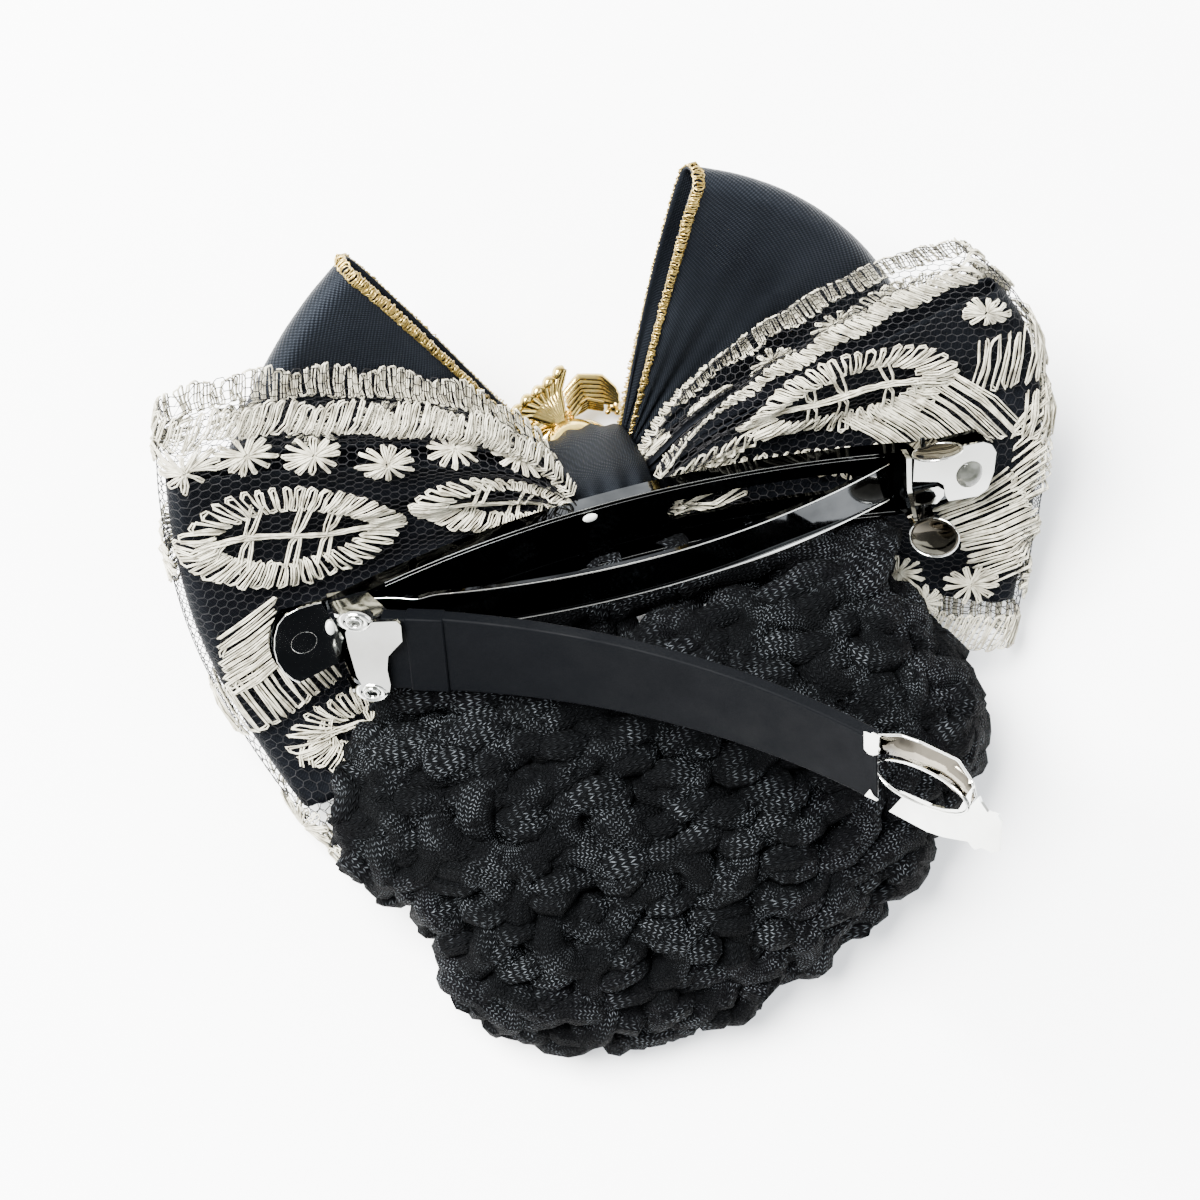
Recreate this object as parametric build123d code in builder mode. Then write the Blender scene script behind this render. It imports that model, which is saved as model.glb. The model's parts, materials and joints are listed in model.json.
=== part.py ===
"""A ribbon bow hair clip with a crocheted snood, lying on its face.

The clasp, the bow and the ornament are drawn in the clasp's own frame: X along the clasp from its
hinge to its catch, Y towards the top of the bow, Z from the bow towards the head, and the origin in
the middle of the arched base. The bag is drawn in the frame of the surface that it lies on. At the
end the clasp and bow are leaned over about X, as they lie on ornament, lace and bag.
"""
import os
from collections import namedtuple
from math import cos, exp, pi, radians, sin, sqrt

from build123d import *

os.makedirs("parts", exist_ok=True)

# How the clip lies
lean_angle = 40.0
clasp_height = 17.0

# Sheet metal of the clasp. The channel bends into a flat plate a little beyond the hinge.
hinge_reach = 31.0
bend_past_hinge = 2.0
plate_length = 7.0
plate_corner = 1.8
sew_hole_from_bend = 3.6
bend_reach = hinge_reach + bend_past_hinge
plate_reach = bend_reach + plate_length
plate_corner_reach = plate_reach - plate_corner
sew_hole_reach = bend_reach + sew_hole_from_bend
sheet = 0.5
base_width = 8.4
base_rise = 5.2
rim_height = 1.2
sew_hole_radius = 1.35
slot_length = 20.0
slot_width = 2.4
slot_middle = 15.0

# Hinge at the left end
hinge_height = 8.8
hinge_ear_radius = 1.7
hinge_ear_width = 7.2
rivet_radius = 0.8
rivet_bore = 0.4
rivet_head_radius = 1.15
rivet_head_height = 0.3
running_clearance = 0.05
flap_gap = 0.2

# Locking arm, standing open
arm_open_angle = 26.5
arm_root_length = 6.0
arm_root_lap = 1.0
arm_root_mouth = 2.0
arm_radius = 84.0
arm_strip_width = 6.2
window_middle = 62.2
window_ring_length = 12.6
window_ring_width = 10.0
window_length = 9.6
window_width = 4.2
window_rim = 0.4
window_rim_height = 0.9
sleeve_onto_window = 0.1
sleeve_start = 8.0
sleeve_end = window_middle - window_ring_length / 2 + sleeve_onto_window
sleeve_root_width = 9.5
sleeve_end_width = 8.0
sleeve_thickness = 1.5
sleeve_gap = 0.1
tab_length = 3.2
tab_width = 3.8
tab_shift = 1.6

# Tension bar
tension_from_hinge = 2.0
tension_reach = hinge_reach - tension_from_hinge
tension_rise = 4.9
tension_width = 5.0
tension_sheet = 0.4
seat_gap = 0.05

# Catch at the right end
catch_from_bend = 1.4
catch_reach = bend_reach - catch_from_bend
catch_foot_length = 3.6
catch_foot_width = 7.0
catch_wall_height = 3.4
catch_wall_width = 10.8
tongue_width = 3.4
tongue_height = 5.0
ear_radius = 2.7
ear_spread = 6.5
ear_rise = 8.7
ear_tilt = 25.0

# Bow, measured from the middle of the base
cloth = 1.0
knot_width = 8.0
knot_height = 8.8
knot_wall = 0.8
knot_depth = 13.2
knot_corner = 1.6
piece_gap = 0.3
gather_half_width = 2.2
lace_reach = 48.0
satin_reach = 40.0
lace_gap_at_knot = 2.1
lace_gap_at_fold = 2.4
lace_puff = 0.9
lining_gap_at_knot = 0.7
lining_gap_at_fold = 0.75
lining_puff = 0.5
lining_width_share = 0.72
lining_inset = 2.4
satin_gap_at_knot = 0.9
satin_gap_at_fold = 1.7
satin_puff = 0.5
lace_pleat = 1.1
satin_pleat = 0.35
satin_spread = 0.5
lace_spread_left = 9.5
lace_spread_right = 6.5

# Ornament
ornament_width = 13.0
ornament_height = 11.0
ornament_depth = 7.2

# Bag
bag_length = 55.0
bag_width = 72.0
bag_height = 24.0
bag_wall = 3.0
bag_hem = 2.0
bag_lump = 0.8
bag_rings_round = 40
bag_cells_along = 16

# Rows across a loop, from its top edge to its bottom edge. Angle is above the clasp's axis, reach
# is a share of the loop's reach and lift is how far its outer fold stands off the middle of the
# base towards the head, as a share of that reach.
FanRow = namedtuple("FanRow", "across angle reach lift")
LACE_LEFT = (
    FanRow(0.00, 27.5, 1.09, -0.065),
    FanRow(0.25, 14.0, 1.02, -0.060),
    FanRow(0.50, -3.0, 0.97, -0.035),
    FanRow(0.75, -20.5, 0.95, 0.010),
    FanRow(1.00, -42.0, 0.97, 0.150),
)
LACE_RIGHT = (
    FanRow(0.00, 29.5, 0.95, -0.060),
    FanRow(0.25, 13.0, 1.02, -0.040),
    FanRow(0.50, -8.0, 1.01, 0.020),
    FanRow(0.75, -20.0, 1.02, 0.040),
    FanRow(1.00, -32.5, 1.05, 0.080),
)
SATIN_LEFT = (
    FanRow(0.00, 54.5, 1.03, -0.260),
    FanRow(0.50, 30.0, 1.01, -0.262),
    FanRow(1.00, 6.0, 1.03, -0.265),
)
SATIN_RIGHT = (
    FanRow(0.00, 69.5, 0.92, -0.260),
    FanRow(0.50, 40.0, 0.93, -0.262),
    FanRow(1.00, 12.0, 0.95, -0.265),
)

# Sections of the bag, from its mouth to its foot. Along is the distance down from the clasp as a
# share of the bag's length, left and right are where the section ends as shares of its width, and
# low, side and high are heights above the surface as shares of its height. Tilt, a share of the
# height too, turns the mouth upwards, and keel says how sharply the underside drops from its sides.
BagRow = namedtuple("BagRow", "along left right low side high tilt keel")
BAG = (
    BagRow(0.145, -0.405, 0.410, 0.530, 0.665, 0.930, 0.165, 1.2),
    BagRow(0.210, -0.430, 0.405, 0.445, 0.535, 0.975, 0.110, 1.2),
    BagRow(0.300, -0.475, 0.435, 0.330, 0.460, 1.010, 0.060, 2.0),
    BagRow(0.420, -0.510, 0.470, 0.150, 0.435, 1.000, 0.020, 5.5),
    BagRow(0.520, -0.500, 0.500, 0.050, 0.370, 0.965, 0.000, 2.2),
    BagRow(0.620, -0.445, 0.475, 0.040, 0.350, 0.900, 0.000, 1.4),
    BagRow(0.720, -0.400, 0.410, 0.040, 0.320, 0.790, 0.000, 1.0),
    BagRow(0.820, -0.395, 0.350, 0.040, 0.280, 0.660, 0.000, 0.9),
    BagRow(0.900, -0.335, 0.245, 0.050, 0.245, 0.535, 0.000, 0.8),
    BagRow(0.960, -0.250, 0.155, 0.075, 0.215, 0.410, 0.000, 0.8),
    BagRow(0.990, -0.170, 0.060, 0.120, 0.200, 0.310, 0.000, 0.8),
)


# Shared shapes

def rows_at(rows, share, column, key=0):
    """A column of a table at a share between its rows, on a smooth curve through them."""
    keys = [row[key] for row in rows]
    values = [getattr(row, column) for row in rows]
    last = len(rows) - 2
    index = max(0, min(last, sum(1 for known in keys[1:-1] if share > known)))
    step = keys[index + 1] - keys[index]
    part = (share - keys[index]) / step
    before = values[max(index - 1, 0)]
    after = values[min(index + 2, len(rows) - 1)]
    start, end = values[index], values[index + 1]
    lead_in = (end - before) / 2
    lead_out = (after - start) / 2
    square, cube = part ** 2, part ** 3
    return (start * (2 * cube - 3 * square + 1) + lead_in * (cube - 2 * square + part)
            + end * (3 * square - 2 * cube) + lead_out * (cube - square))


def solid_from(corner_lists):
    """A closed solid from the corners of its faces, with each four-cornered face cut in two."""
    faces = []
    for corners in corner_lists:
        for third in range(2, len(corners)):
            triangle = (corners[0], corners[third - 1], corners[third])
            faces.append(Face(Wire.make_polygon(triangle, close=True)))
    return Solid(Shell(faces))


def surface_normals(grid):
    """Unit normals of a grid of points, from the differences to its neighbours."""
    last_row, last_column = len(grid) - 1, len(grid[0]) - 1
    normals = []
    for row in range(last_row + 1):
        line = []
        for column in range(last_column + 1):
            along = grid[min(row + 1, last_row)][column] - grid[max(row - 1, 0)][column]
            across = grid[row][min(column + 1, last_column)] - grid[row][max(column - 1, 0)]
            line.append(along.cross(across).normalized())
        normals.append(line)
    return normals


def sheet_solid(grid, thickness):
    """A wall of even thickness about a grid of points, closed at its four edges."""
    normals = surface_normals(grid)
    rows, columns = range(len(grid)), range(len(grid[0]))
    front = [[grid[r][c] + normals[r][c] * (thickness / 2) for c in columns] for r in rows]
    back = [[grid[r][c] - normals[r][c] * (thickness / 2) for c in columns] for r in rows]
    faces = []
    for r in rows[:-1]:
        for c in columns[:-1]:
            faces.append((front[r][c], front[r + 1][c], front[r + 1][c + 1], front[r][c + 1]))
            faces.append((back[r][c], back[r][c + 1], back[r + 1][c + 1], back[r + 1][c]))
    for r in rows[:-1]:
        for c in (0, columns[-1]):
            faces.append((front[r][c], back[r][c], back[r + 1][c], front[r + 1][c]))
    for c in columns[:-1]:
        for r in (0, rows[-1]):
            faces.append((front[r][c], back[r][c], back[r][c + 1], front[r][c + 1]))
    return solid_from(faces)


# Base of the clasp: an arched channel with a flat plate at each end

base_radius = (bend_reach ** 2 + base_rise ** 2) / (2 * base_rise)


def base_level(reach):
    """Height of the channel's floor at a distance from its middle."""
    return base_radius - sqrt(base_radius ** 2 - reach ** 2)


with BuildPart() as base_plate:
    with BuildSketch(Plane.XZ) as channel_side:
        with Locations((0, base_radius)):
            Circle(base_radius + sheet)
            Circle(base_radius - rim_height, mode=Mode.SUBTRACT)
        with Locations((0, base_rise / 2)):
            Rectangle(2 * bend_reach, 2 * base_rise + rim_height, mode=Mode.INTERSECT)
    extrude(amount=base_width / 2, both=True)
    with BuildSketch(Plane.XZ) as channel_hollow:
        with Locations((0, base_radius)):
            Circle(base_radius)
            Circle(base_radius - 3 * rim_height, mode=Mode.SUBTRACT)
        with Locations((0, base_rise / 2)):
            Rectangle(2 * bend_reach + sheet, 2 * base_rise + 3 * rim_height, mode=Mode.INTERSECT)
    extrude(amount=base_width / 2 - sheet, both=True, mode=Mode.SUBTRACT)
    # the rims end short of the hinge and the catch
    for side in (-1, 1):
        with BuildSketch(Plane.XY.offset(base_level(bend_reach))) as rim_relief:
            with Locations((side * bend_reach, 0)):
                Rectangle(2 * (bend_reach - tension_reach), base_width + sheet)
        extrude(amount=2 * rim_height, mode=Mode.SUBTRACT)
    for side in (-1, 1):
        with BuildSketch(Plane.XY.offset(base_rise)) as plate_outline:
            with BuildLine() as plate_edge:
                inner = side * (bend_reach - sheet)
                corner = side * plate_corner_reach
                top = Polyline((corner, base_width / 2), (inner, base_width / 2),
                               (inner, -base_width / 2), (corner, -base_width / 2))
                ThreePointArc(top @ 0, (side * plate_reach, 0), top @ 1)
            make_face()
            with Locations((side * sew_hole_reach, 0)):
                Circle(sew_hole_radius, mode=Mode.SUBTRACT)
        extrude(amount=-sheet)
    with BuildSketch(Plane.XY) as slot_outline:
        with Locations((slot_middle, 0)):
            SlotOverall(slot_length, slot_width)
    extrude(amount=base_rise, both=True, mode=Mode.SUBTRACT)
    # the two ears that carry the hinge
    with BuildSketch(Plane.XZ) as ear_side:
        with Locations((-hinge_reach, hinge_height)):
            Circle(hinge_ear_radius)
        with Locations((-hinge_reach, (hinge_height + base_level(hinge_reach) - sheet / 2) / 2)):
            Rectangle(2 * hinge_ear_radius, hinge_height - base_level(hinge_reach) + sheet / 2)
        with Locations((-hinge_reach, hinge_height)):
            Circle(rivet_radius + running_clearance, mode=Mode.SUBTRACT)
    extrude(amount=hinge_ear_width / 2, both=True)
    with BuildSketch(Plane.XZ) as between_ears:
        with Locations((-hinge_reach, base_level(hinge_reach) + hinge_height / 2)):
            Rectangle(3 * hinge_ear_radius, hinge_height)
    extrude(amount=hinge_ear_width / 2 - sheet, both=True, mode=Mode.SUBTRACT)


# Tension bar, sprung between the ends of the channel

tension_foot = base_level(tension_reach) + seat_gap
tension_radius = (tension_reach ** 2 + tension_rise ** 2) / (2 * tension_rise)

with BuildPart() as tension_bar:
    with BuildSketch(Plane.XZ) as tension_side:
        with Locations((0, tension_foot + tension_rise - tension_radius)):
            Circle(tension_radius + tension_sheet)
            Circle(tension_radius, mode=Mode.SUBTRACT)
        with Locations((0, tension_foot + tension_rise)):
            Rectangle(2 * tension_reach, 2 * tension_rise, mode=Mode.INTERSECT)
    extrude(amount=tension_width / 2, both=True)


# Catch: a foot on the end plate, an upright wall across it with a tongue for the arm's window, and
# a round finger ear at each end of the wall

catch_floor = base_rise + seat_gap

with BuildPart() as catch:
    with BuildSketch(Plane.XY.offset(catch_floor)) as catch_foot:
        with Locations((catch_reach + catch_foot_length / 2, 0)):
            Rectangle(catch_foot_length, catch_foot_width)
    extrude(amount=sheet)
    with BuildSketch(Plane.YZ.offset(catch_reach)) as catch_wall:
        with Locations((0, catch_floor + catch_wall_height / 2)):
            Rectangle(catch_wall_width, catch_wall_height)
        with Locations((0, catch_floor + tongue_height / 2)):
            RectangleRounded(tongue_width, tongue_height, sheet)
    extrude(amount=sheet)
    for side in (-1, 1):
        ear_plane = Plane(
            origin=(catch_reach + ear_radius - sheet / 2, side * ear_spread, ear_rise),
            x_dir=(1, 0, 0),
            z_dir=(0, -side * sin(radians(ear_tilt)), cos(radians(ear_tilt))),
        )
        with BuildSketch(ear_plane.offset(-sheet)) as ear_disc:
            Circle(ear_radius)
        extrude(amount=sheet)
        with BuildSketch(ear_plane) as ear_rim:
            Circle(ear_radius)
            Circle(ear_radius - sheet, mode=Mode.SUBTRACT)
        extrude(amount=sheet / 2)


# Hinge rivets, short tubes with a head at each end

def rivet(side):
    """A tubular rivet through the base's ear and the arm's flap on one side."""
    inner = hinge_ear_width / 2 - sheet
    outer = hinge_ear_width / 2 + flap_gap + sheet
    with BuildPart() as tube:
        with BuildSketch(Plane.XZ.offset(-side * (inner - running_clearance))) as shank:
            with Locations((-hinge_reach, hinge_height)):
                Circle(rivet_radius)
        extrude(amount=-side * (outer - inner + 2 * running_clearance))
        for level, way in ((inner - running_clearance, 1), (outer + running_clearance, -1)):
            with BuildSketch(Plane.XZ.offset(-side * level)) as head:
                with Locations((-hinge_reach, hinge_height)):
                    Circle(rivet_head_radius)
            extrude(amount=way * side * rivet_head_height)
        with BuildSketch(Plane.XZ.offset(-side * (inner - 2 * rivet_head_height))) as bore:
            with Locations((-hinge_reach, hinge_height)):
                Circle(rivet_bore)
        extrude(amount=-side * (outer - inner + 4 * rivet_head_height), mode=Mode.SUBTRACT)
    return tube


hinge_rivet_upper = rivet(1)
hinge_rivet_lower = rivet(-1)


# Locking arm: drawn in planes that lean with it

arm_x = (cos(radians(arm_open_angle)), 0, sin(radians(arm_open_angle)))
arm_up = (-sin(radians(arm_open_angle)), 0, cos(radians(arm_open_angle)))
hinge_point = (-hinge_reach, 0, hinge_height)
arm_side = Plane(origin=hinge_point, x_dir=arm_x, z_dir=(0, -1, 0))
arm_top = Plane(origin=hinge_point, x_dir=arm_x, z_dir=arm_up)


def arm_plane_at(length):
    """The plane that lies on the arm's strip at a length from the hinge."""
    turn = (length - arm_root_length) / arm_radius
    lean = radians(arm_open_angle) + turn
    along = arm_root_length + arm_radius * sin(turn)
    rise = arm_radius * (1 - cos(turn))
    origin = Vector(*hinge_point) + Vector(*arm_x) * along + Vector(*arm_up) * rise
    return Plane(origin=origin, x_dir=(cos(lean), 0, sin(lean)), z_dir=(-sin(lean), 0, cos(lean)))


def arm_reach(length):
    """Distance of a place on the arm's strip from the hinge, measured along its root."""
    return arm_root_length + arm_radius * sin((length - arm_root_length) / arm_radius)


def draw_arm_band(low, high, start, end):
    """The side view of a layer of the arm, between two heights and two lengths."""
    with Locations((arm_root_length, arm_radius)):
        Circle(arm_radius - low)
        Circle(arm_radius - high, mode=Mode.SUBTRACT)
    begin, finish = arm_reach(start), arm_reach(end)
    with Locations(((begin + finish) / 2, arm_radius / 4)):
        Rectangle(finish - begin, arm_radius, mode=Mode.INTERSECT)


window_plane = arm_plane_at(window_middle)
flap_outer = hinge_ear_width / 2 + flap_gap + sheet
root_top = hinge_ear_radius + sheet + flap_gap

with BuildPart() as arm_bar:
    # the root: a cap over the hinge with a flap down each side
    with BuildSketch(arm_side) as root_side:
        with Locations((0, 0)):
            Circle(hinge_ear_radius)
        with Locations(((arm_root_length + arm_root_lap) / 2, root_top / 2 - sheet / 2)):
            Rectangle(arm_root_length + arm_root_lap, root_top + sheet)
    extrude(amount=flap_outer, both=True)
    with BuildSketch(arm_side) as root_hollow:
        with Locations((arm_root_length / 2 - arm_root_mouth, -hinge_ear_radius)):
            Rectangle(arm_root_length + 2 * arm_root_mouth, 2 * hinge_ear_radius + 2 * (root_top - sheet))
    extrude(amount=flap_outer - sheet, both=True, mode=Mode.SUBTRACT)
    with BuildSketch(arm_side) as rivet_bores:
        Circle(rivet_radius + running_clearance)
    extrude(amount=2 * flap_outer, both=True, mode=Mode.SUBTRACT)
    # the strip
    with BuildSketch(arm_side) as strip_side:
        draw_arm_band(-sheet / 2, sheet / 2, arm_root_length - sheet, window_middle)
    extrude(amount=arm_strip_width / 2, both=True)
    # the oval window and the tip tab beyond it
    with BuildSketch(window_plane.offset(-sheet / 2)) as ring_outline:
        Ellipse(window_ring_length / 2, window_ring_width / 2)
        with Locations((window_ring_length / 2 + tab_length / 2 - sheet, -tab_shift)):
            RectangleRounded(tab_length + 4 * sheet, tab_width, sheet)
    extrude(amount=sheet)
    with BuildSketch(window_plane.offset(-sheet / 2)) as rim_outline:
        Ellipse(window_length / 2 + window_rim, window_width / 2 + window_rim)
    extrude(amount=sheet + window_rim_height)
    with BuildSketch(window_plane.offset(-2 * sheet)) as window_outline:
        Ellipse(window_length / 2, window_width / 2)
    extrude(amount=4 * sheet + window_rim_height, mode=Mode.SUBTRACT)


# Sleeve on the arm, tapering towards the window

with BuildPart() as arm_sleeve:
    with BuildSketch(arm_top.offset(-arm_radius / 4)) as sleeve_plan:
        with BuildLine() as sleeve_edge:
            begin, finish = arm_reach(sleeve_start), arm_reach(sleeve_end)
            Polyline((begin, -sleeve_root_width / 2), (finish, -sleeve_end_width / 2),
                     (finish, sleeve_end_width / 2), (begin, sleeve_root_width / 2), close=True)
        make_face()
    extrude(amount=arm_radius)
    with BuildSketch(arm_side) as sleeve_side:
        draw_arm_band(-sleeve_thickness / 2, sleeve_thickness / 2, sleeve_start, sleeve_end)
    extrude(amount=sleeve_root_width, both=True, mode=Mode.INTERSECT)
    with BuildSketch(arm_side) as strip_channel:
        draw_arm_band(-sheet / 2 - sleeve_gap, sheet / 2 + sleeve_gap,
                      sleeve_start - sheet, sleeve_end + sheet)
    extrude(amount=arm_strip_width / 2 + sleeve_gap, both=True, mode=Mode.SUBTRACT)


# Knot: a band of ribbon round the middle of the bow

knot_top = -sheet - piece_gap
knot_middle = knot_top - knot_depth / 2

with BuildPart() as knot_band:
    with BuildSketch(Plane.YZ.offset(-knot_width / 2)) as knot_section:
        with Locations((0, knot_middle)):
            RectangleRounded(knot_height, knot_depth, knot_corner)
            RectangleRounded(knot_height - 2 * knot_wall, knot_depth - 2 * knot_wall,
                             knot_corner - knot_wall, mode=Mode.SUBTRACT)
    extrude(amount=knot_width)


# Ribbon loops of the bow

lace_level = knot_top - knot_wall - piece_gap - cloth / 2 - lace_gap_at_knot
satin_level = knot_top - knot_depth + knot_wall + piece_gap + cloth / 2 + satin_gap_at_knot
lace_gaps = (lace_gap_at_knot, lace_gap_at_fold, lace_puff)
lining_gaps = (lining_gap_at_knot, lining_gap_at_fold, lining_puff)
satin_gaps = (satin_gap_at_knot, satin_gap_at_fold, satin_puff)
pleat_count = 2.5
pleat_phase = 0.6
gather_start = knot_width / 2 + piece_gap
spread_rise = 0.12
spread_fall = 0.5
settle_softness = 0.8


def surface_level(across):
    """Height in the clasp's frame of the surface that the clip lies on, at a place in Y."""
    lean = radians(lean_angle)
    return (-clasp_height - across * sin(lean)) / cos(lean)


def soft_max(first, second, softness):
    """The larger of two lengths, rounded where they cross."""
    gap = first - second
    return (first + second + sqrt(gap ** 2 + softness ** 2)) / 2


def half_gap(share, at_knot, at_fold, puff):
    """Half the distance between a loop's two layers at a share of its reach."""
    return at_knot + (at_fold - at_knot) * share + puff * sin(pi * share)


def loop_grid(side, rows, reach, level, gaps, pleat, spread, columns, stations, margins, inset):
    """Middle surface of a ribbon loop: out on the head's side, round its fold and back."""
    fold = gaps[1]
    grid = []
    walk = [(step / stations, 1) for step in range(stations + 1)]
    turns = 4
    walk += [(1 + sin(pi * turn / turns) * fold / reach, cos(pi * turn / turns))
             for turn in range(1, turns)]
    walk += [(step / stations, -1) for step in reversed(range(stations + 1))]
    for share, layer in walk:
        line = []
        for column in range(columns + 1):
            across = margins[0] + (1 - margins[0] - margins[1]) * column / columns
            angle = radians(rows_at(rows, across, "angle"))
            fold_reach = reach * rows_at(rows, across, "reach") - fold - inset
            flat_share = min(share, 1)
            knot_x, knot_y = gather_start, gather_half_width * (1 - 2 * across)
            over = (share - flat_share) * reach
            x = knot_x + (fold_reach * cos(angle) - knot_x) * flat_share + over * cos(angle)
            y = knot_y + (fold_reach * sin(angle) - knot_y) * flat_share + over * sin(angle)
            shape = (1 - exp(-flat_share / spread_rise)) * (1 - flat_share) ** spread_fall
            y += spread * (1 - 2 * across) * shape * cos(angle)
            x -= spread * (1 - 2 * across) * shape * flat_share * sin(angle)
            lift = reach * rows_at(rows, across, "lift")
            middle = level + (lift - level) * flat_share ** 2
            swell = pleat * 3 * flat_share * (1 - flat_share) ** 1.5
            wave = swell * cos(2 * pi * (pleat_count * across + pleat_phase))
            low_side = half_gap(flat_share, *lace_gaps) + cloth / 2 + swell
            middle = soft_max(middle, surface_level(y) + low_side, settle_softness)
            height = middle + wave + layer * half_gap(flat_share, *gaps)
            line.append(Vector(side * x, y, height))
        grid.append(line)
    return grid


def ribbon_loop(side, rows, reach, level, gaps, pleat, spread, columns=12, stations=7,
                margins=(0, 0), inset=0):
    """One loop of the bow as a closed wall of cloth."""
    grid = loop_grid(side, rows, reach, level, gaps, pleat, spread, columns, stations,
                     margins, inset)
    with BuildPart() as loop:
        add(sheet_solid(grid, cloth))
    return loop


lining_margin = (1 - lining_width_share) / 2

lace_loop_left = ribbon_loop(-1, LACE_LEFT, lace_reach, lace_level, lace_gaps, lace_pleat,
                             lace_spread_left)
lace_loop_right = ribbon_loop(1, LACE_RIGHT, lace_reach, lace_level, lace_gaps, lace_pleat,
                              lace_spread_right)
lining_loop_left = ribbon_loop(-1, LACE_LEFT, lace_reach, lace_level, lining_gaps, lace_pleat,
                               lace_spread_left, 9, 6, (lining_margin, lining_margin), lining_inset)
lining_loop_right = ribbon_loop(1, LACE_RIGHT, lace_reach, lace_level, lining_gaps, lace_pleat,
                                lace_spread_right, 9, 6, (lining_margin, lining_margin),
                                lining_inset)
satin_loop_left = ribbon_loop(-1, SATIN_LEFT, satin_reach, satin_level, satin_gaps, satin_pleat,
                              satin_spread, 8, 6)
satin_loop_right = ribbon_loop(1, SATIN_RIGHT, satin_reach, satin_level, satin_gaps, satin_pleat,
                               satin_spread, 8, 6)


# Ornament on the front of the knot: a cast bow with two open ribbed lobes, tails and a round knot

ornament_back = knot_top - knot_depth - piece_gap
ornament_layers = 7
ornament_rib = 0.35
lobe_lean = 20.0
lobe_reach = 0.27 * ornament_width
lobe_rise = 0.10 * ornament_height
lobe_half_width = 0.22 * ornament_width
lobe_half_height = 0.36 * ornament_height
lobe_hole_share = 0.42
lobe_depth = 0.72 * ornament_depth
ornament_knot_radius = 0.28 * ornament_height
tail_width = 2.6
tail_drop = 0.34 * ornament_height
tail_layers = 3

with BuildPart() as ornament:
    layer_depth = lobe_depth / ornament_layers
    for layer in range(ornament_layers):
        swell = ornament_rib * (layer % 2)
        layer_plane = Plane.XY.offset(ornament_back - layer_depth * (layer + 1))
        with BuildSketch(layer_plane) as lobes:
            for side in (-1, 1):
                with Locations(Location((side * lobe_reach, lobe_rise), -side * lobe_lean)):
                    Ellipse(lobe_half_width + swell, lobe_half_height + swell)
            for side in (-1, 1) if layer < tail_layers else ():
                with Locations(Location((side * lobe_reach, -tail_drop), side * lobe_lean)):
                    RectangleRounded(tail_width + swell, 2 * tail_width + swell, tail_width / 3)
            for side in (-1, 1):
                with Locations(Location((side * lobe_reach, lobe_rise), -side * lobe_lean)):
                    Ellipse(lobe_half_width * lobe_hole_share, lobe_half_height * lobe_hole_share,
                            mode=Mode.SUBTRACT)
        extrude(amount=layer_depth)
    with Locations((0, 0, ornament_back - ornament_depth + ornament_knot_radius)):
        Sphere(ornament_knot_radius)


# Bag: a hollow crocheted wall with gaps between its cords, drawn in the frame of the surface

gap_step_round = 4
gap_step_along = 2
bag_side_round = 0.8
bag_top_round = 0.85
foot_wall_share = 0.9
hem_steps = 3


def bag_point(share, turn, inset, bump):
    """A point of the bag's wall: a share of its length, a turn round it and a depth inside it."""
    left = bag_width * rows_at(BAG, share, "left") + inset
    right = bag_width * rows_at(BAG, share, "right") - inset
    low = bag_height * rows_at(BAG, share, "low") + inset - bump
    high = bag_height * rows_at(BAG, share, "high") - inset + bump
    side = bag_height * rows_at(BAG, share, "side")
    tilt = bag_height * rows_at(BAG, share, "tilt")
    wide, tall = cos(turn), sin(turn)
    swing = (abs(wide) ** bag_side_round) * (1 if wide > 0 else -1)
    x = (left + right) / 2 + (right - left + 2 * bump) / 2 * swing
    if tall >= 0:
        z = side + (high - side) * tall ** bag_top_round
    else:
        z = side - (side - low) * abs(tall) ** rows_at(BAG, share, "keel")
    return Vector(x, -bag_length * share - tilt * tall, z)


def bag_faces():
    """Faces of the bag's wall, with a gap left between its cords at every few cells."""
    rings = bag_rings_round
    first, last = BAG[0].along, BAG[-1].along
    outer, inner = [], []
    for step in range(bag_cells_along + 1):
        part = step / bag_cells_along
        share = first + (last - first) * part
        inner_share = first + (last - first - bag_wall * foot_wall_share / bag_length) * part
        outer_ring, inner_ring = [], []
        for corner in range(rings):
            turn = 2 * pi * corner / rings
            fullness = min(step / hem_steps, 1)
            bump = fullness * bag_lump * sin(pi / 2 * (corner + 2 * step))
            wall = bag_hem + (bag_wall - bag_hem) * fullness
            outer_ring.append(bag_point(share, turn, 0, bump))
            inner_ring.append(bag_point(inner_share, turn, wall, bump))
        outer.append(outer_ring)
        inner.append(inner_ring)
    faces = []
    for step in range(bag_cells_along):
        shift = gap_step_along * (step // gap_step_along % 2)
        for corner in range(rings):
            after = (corner + 1) % rings
            near = (outer[step][corner], outer[step][after],
                    outer[step + 1][after], outer[step + 1][corner])
            far = (inner[step][corner], inner[step + 1][corner],
                   inner[step + 1][after], inner[step][after])
            inside_rows = 0 < step < bag_cells_along - 2
            open_cell = (inside_rows and step % gap_step_along == 1
                         and (corner + shift) % gap_step_round == 1)
            if open_cell:
                for begin, finish in ((0, 3), (3, 2), (2, 1), (1, 0)):
                    matching = (0, 3, 2, 1)
                    faces.append((near[begin], near[finish],
                                  far[matching[finish]], far[matching[begin]]))
            else:
                faces.append(near)
                faces.append(far)
    for corner in range(rings):
        after = (corner + 1) % rings
        faces.append((outer[0][corner], inner[0][corner], inner[0][after], outer[0][after]))
    for rings_here in (outer[-1], inner[-1]):
        centre = Vector(0, 0, 0)
        for point in rings_here:
            centre += point / rings
        for corner in range(rings):
            faces.append((rings_here[corner], rings_here[(corner + 1) % rings], centre))
    return faces


with BuildPart() as snood_bag:
    add(solid_from(bag_faces()))


# Lay the clip on the surface and set the origin under the middle of the whole

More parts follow.
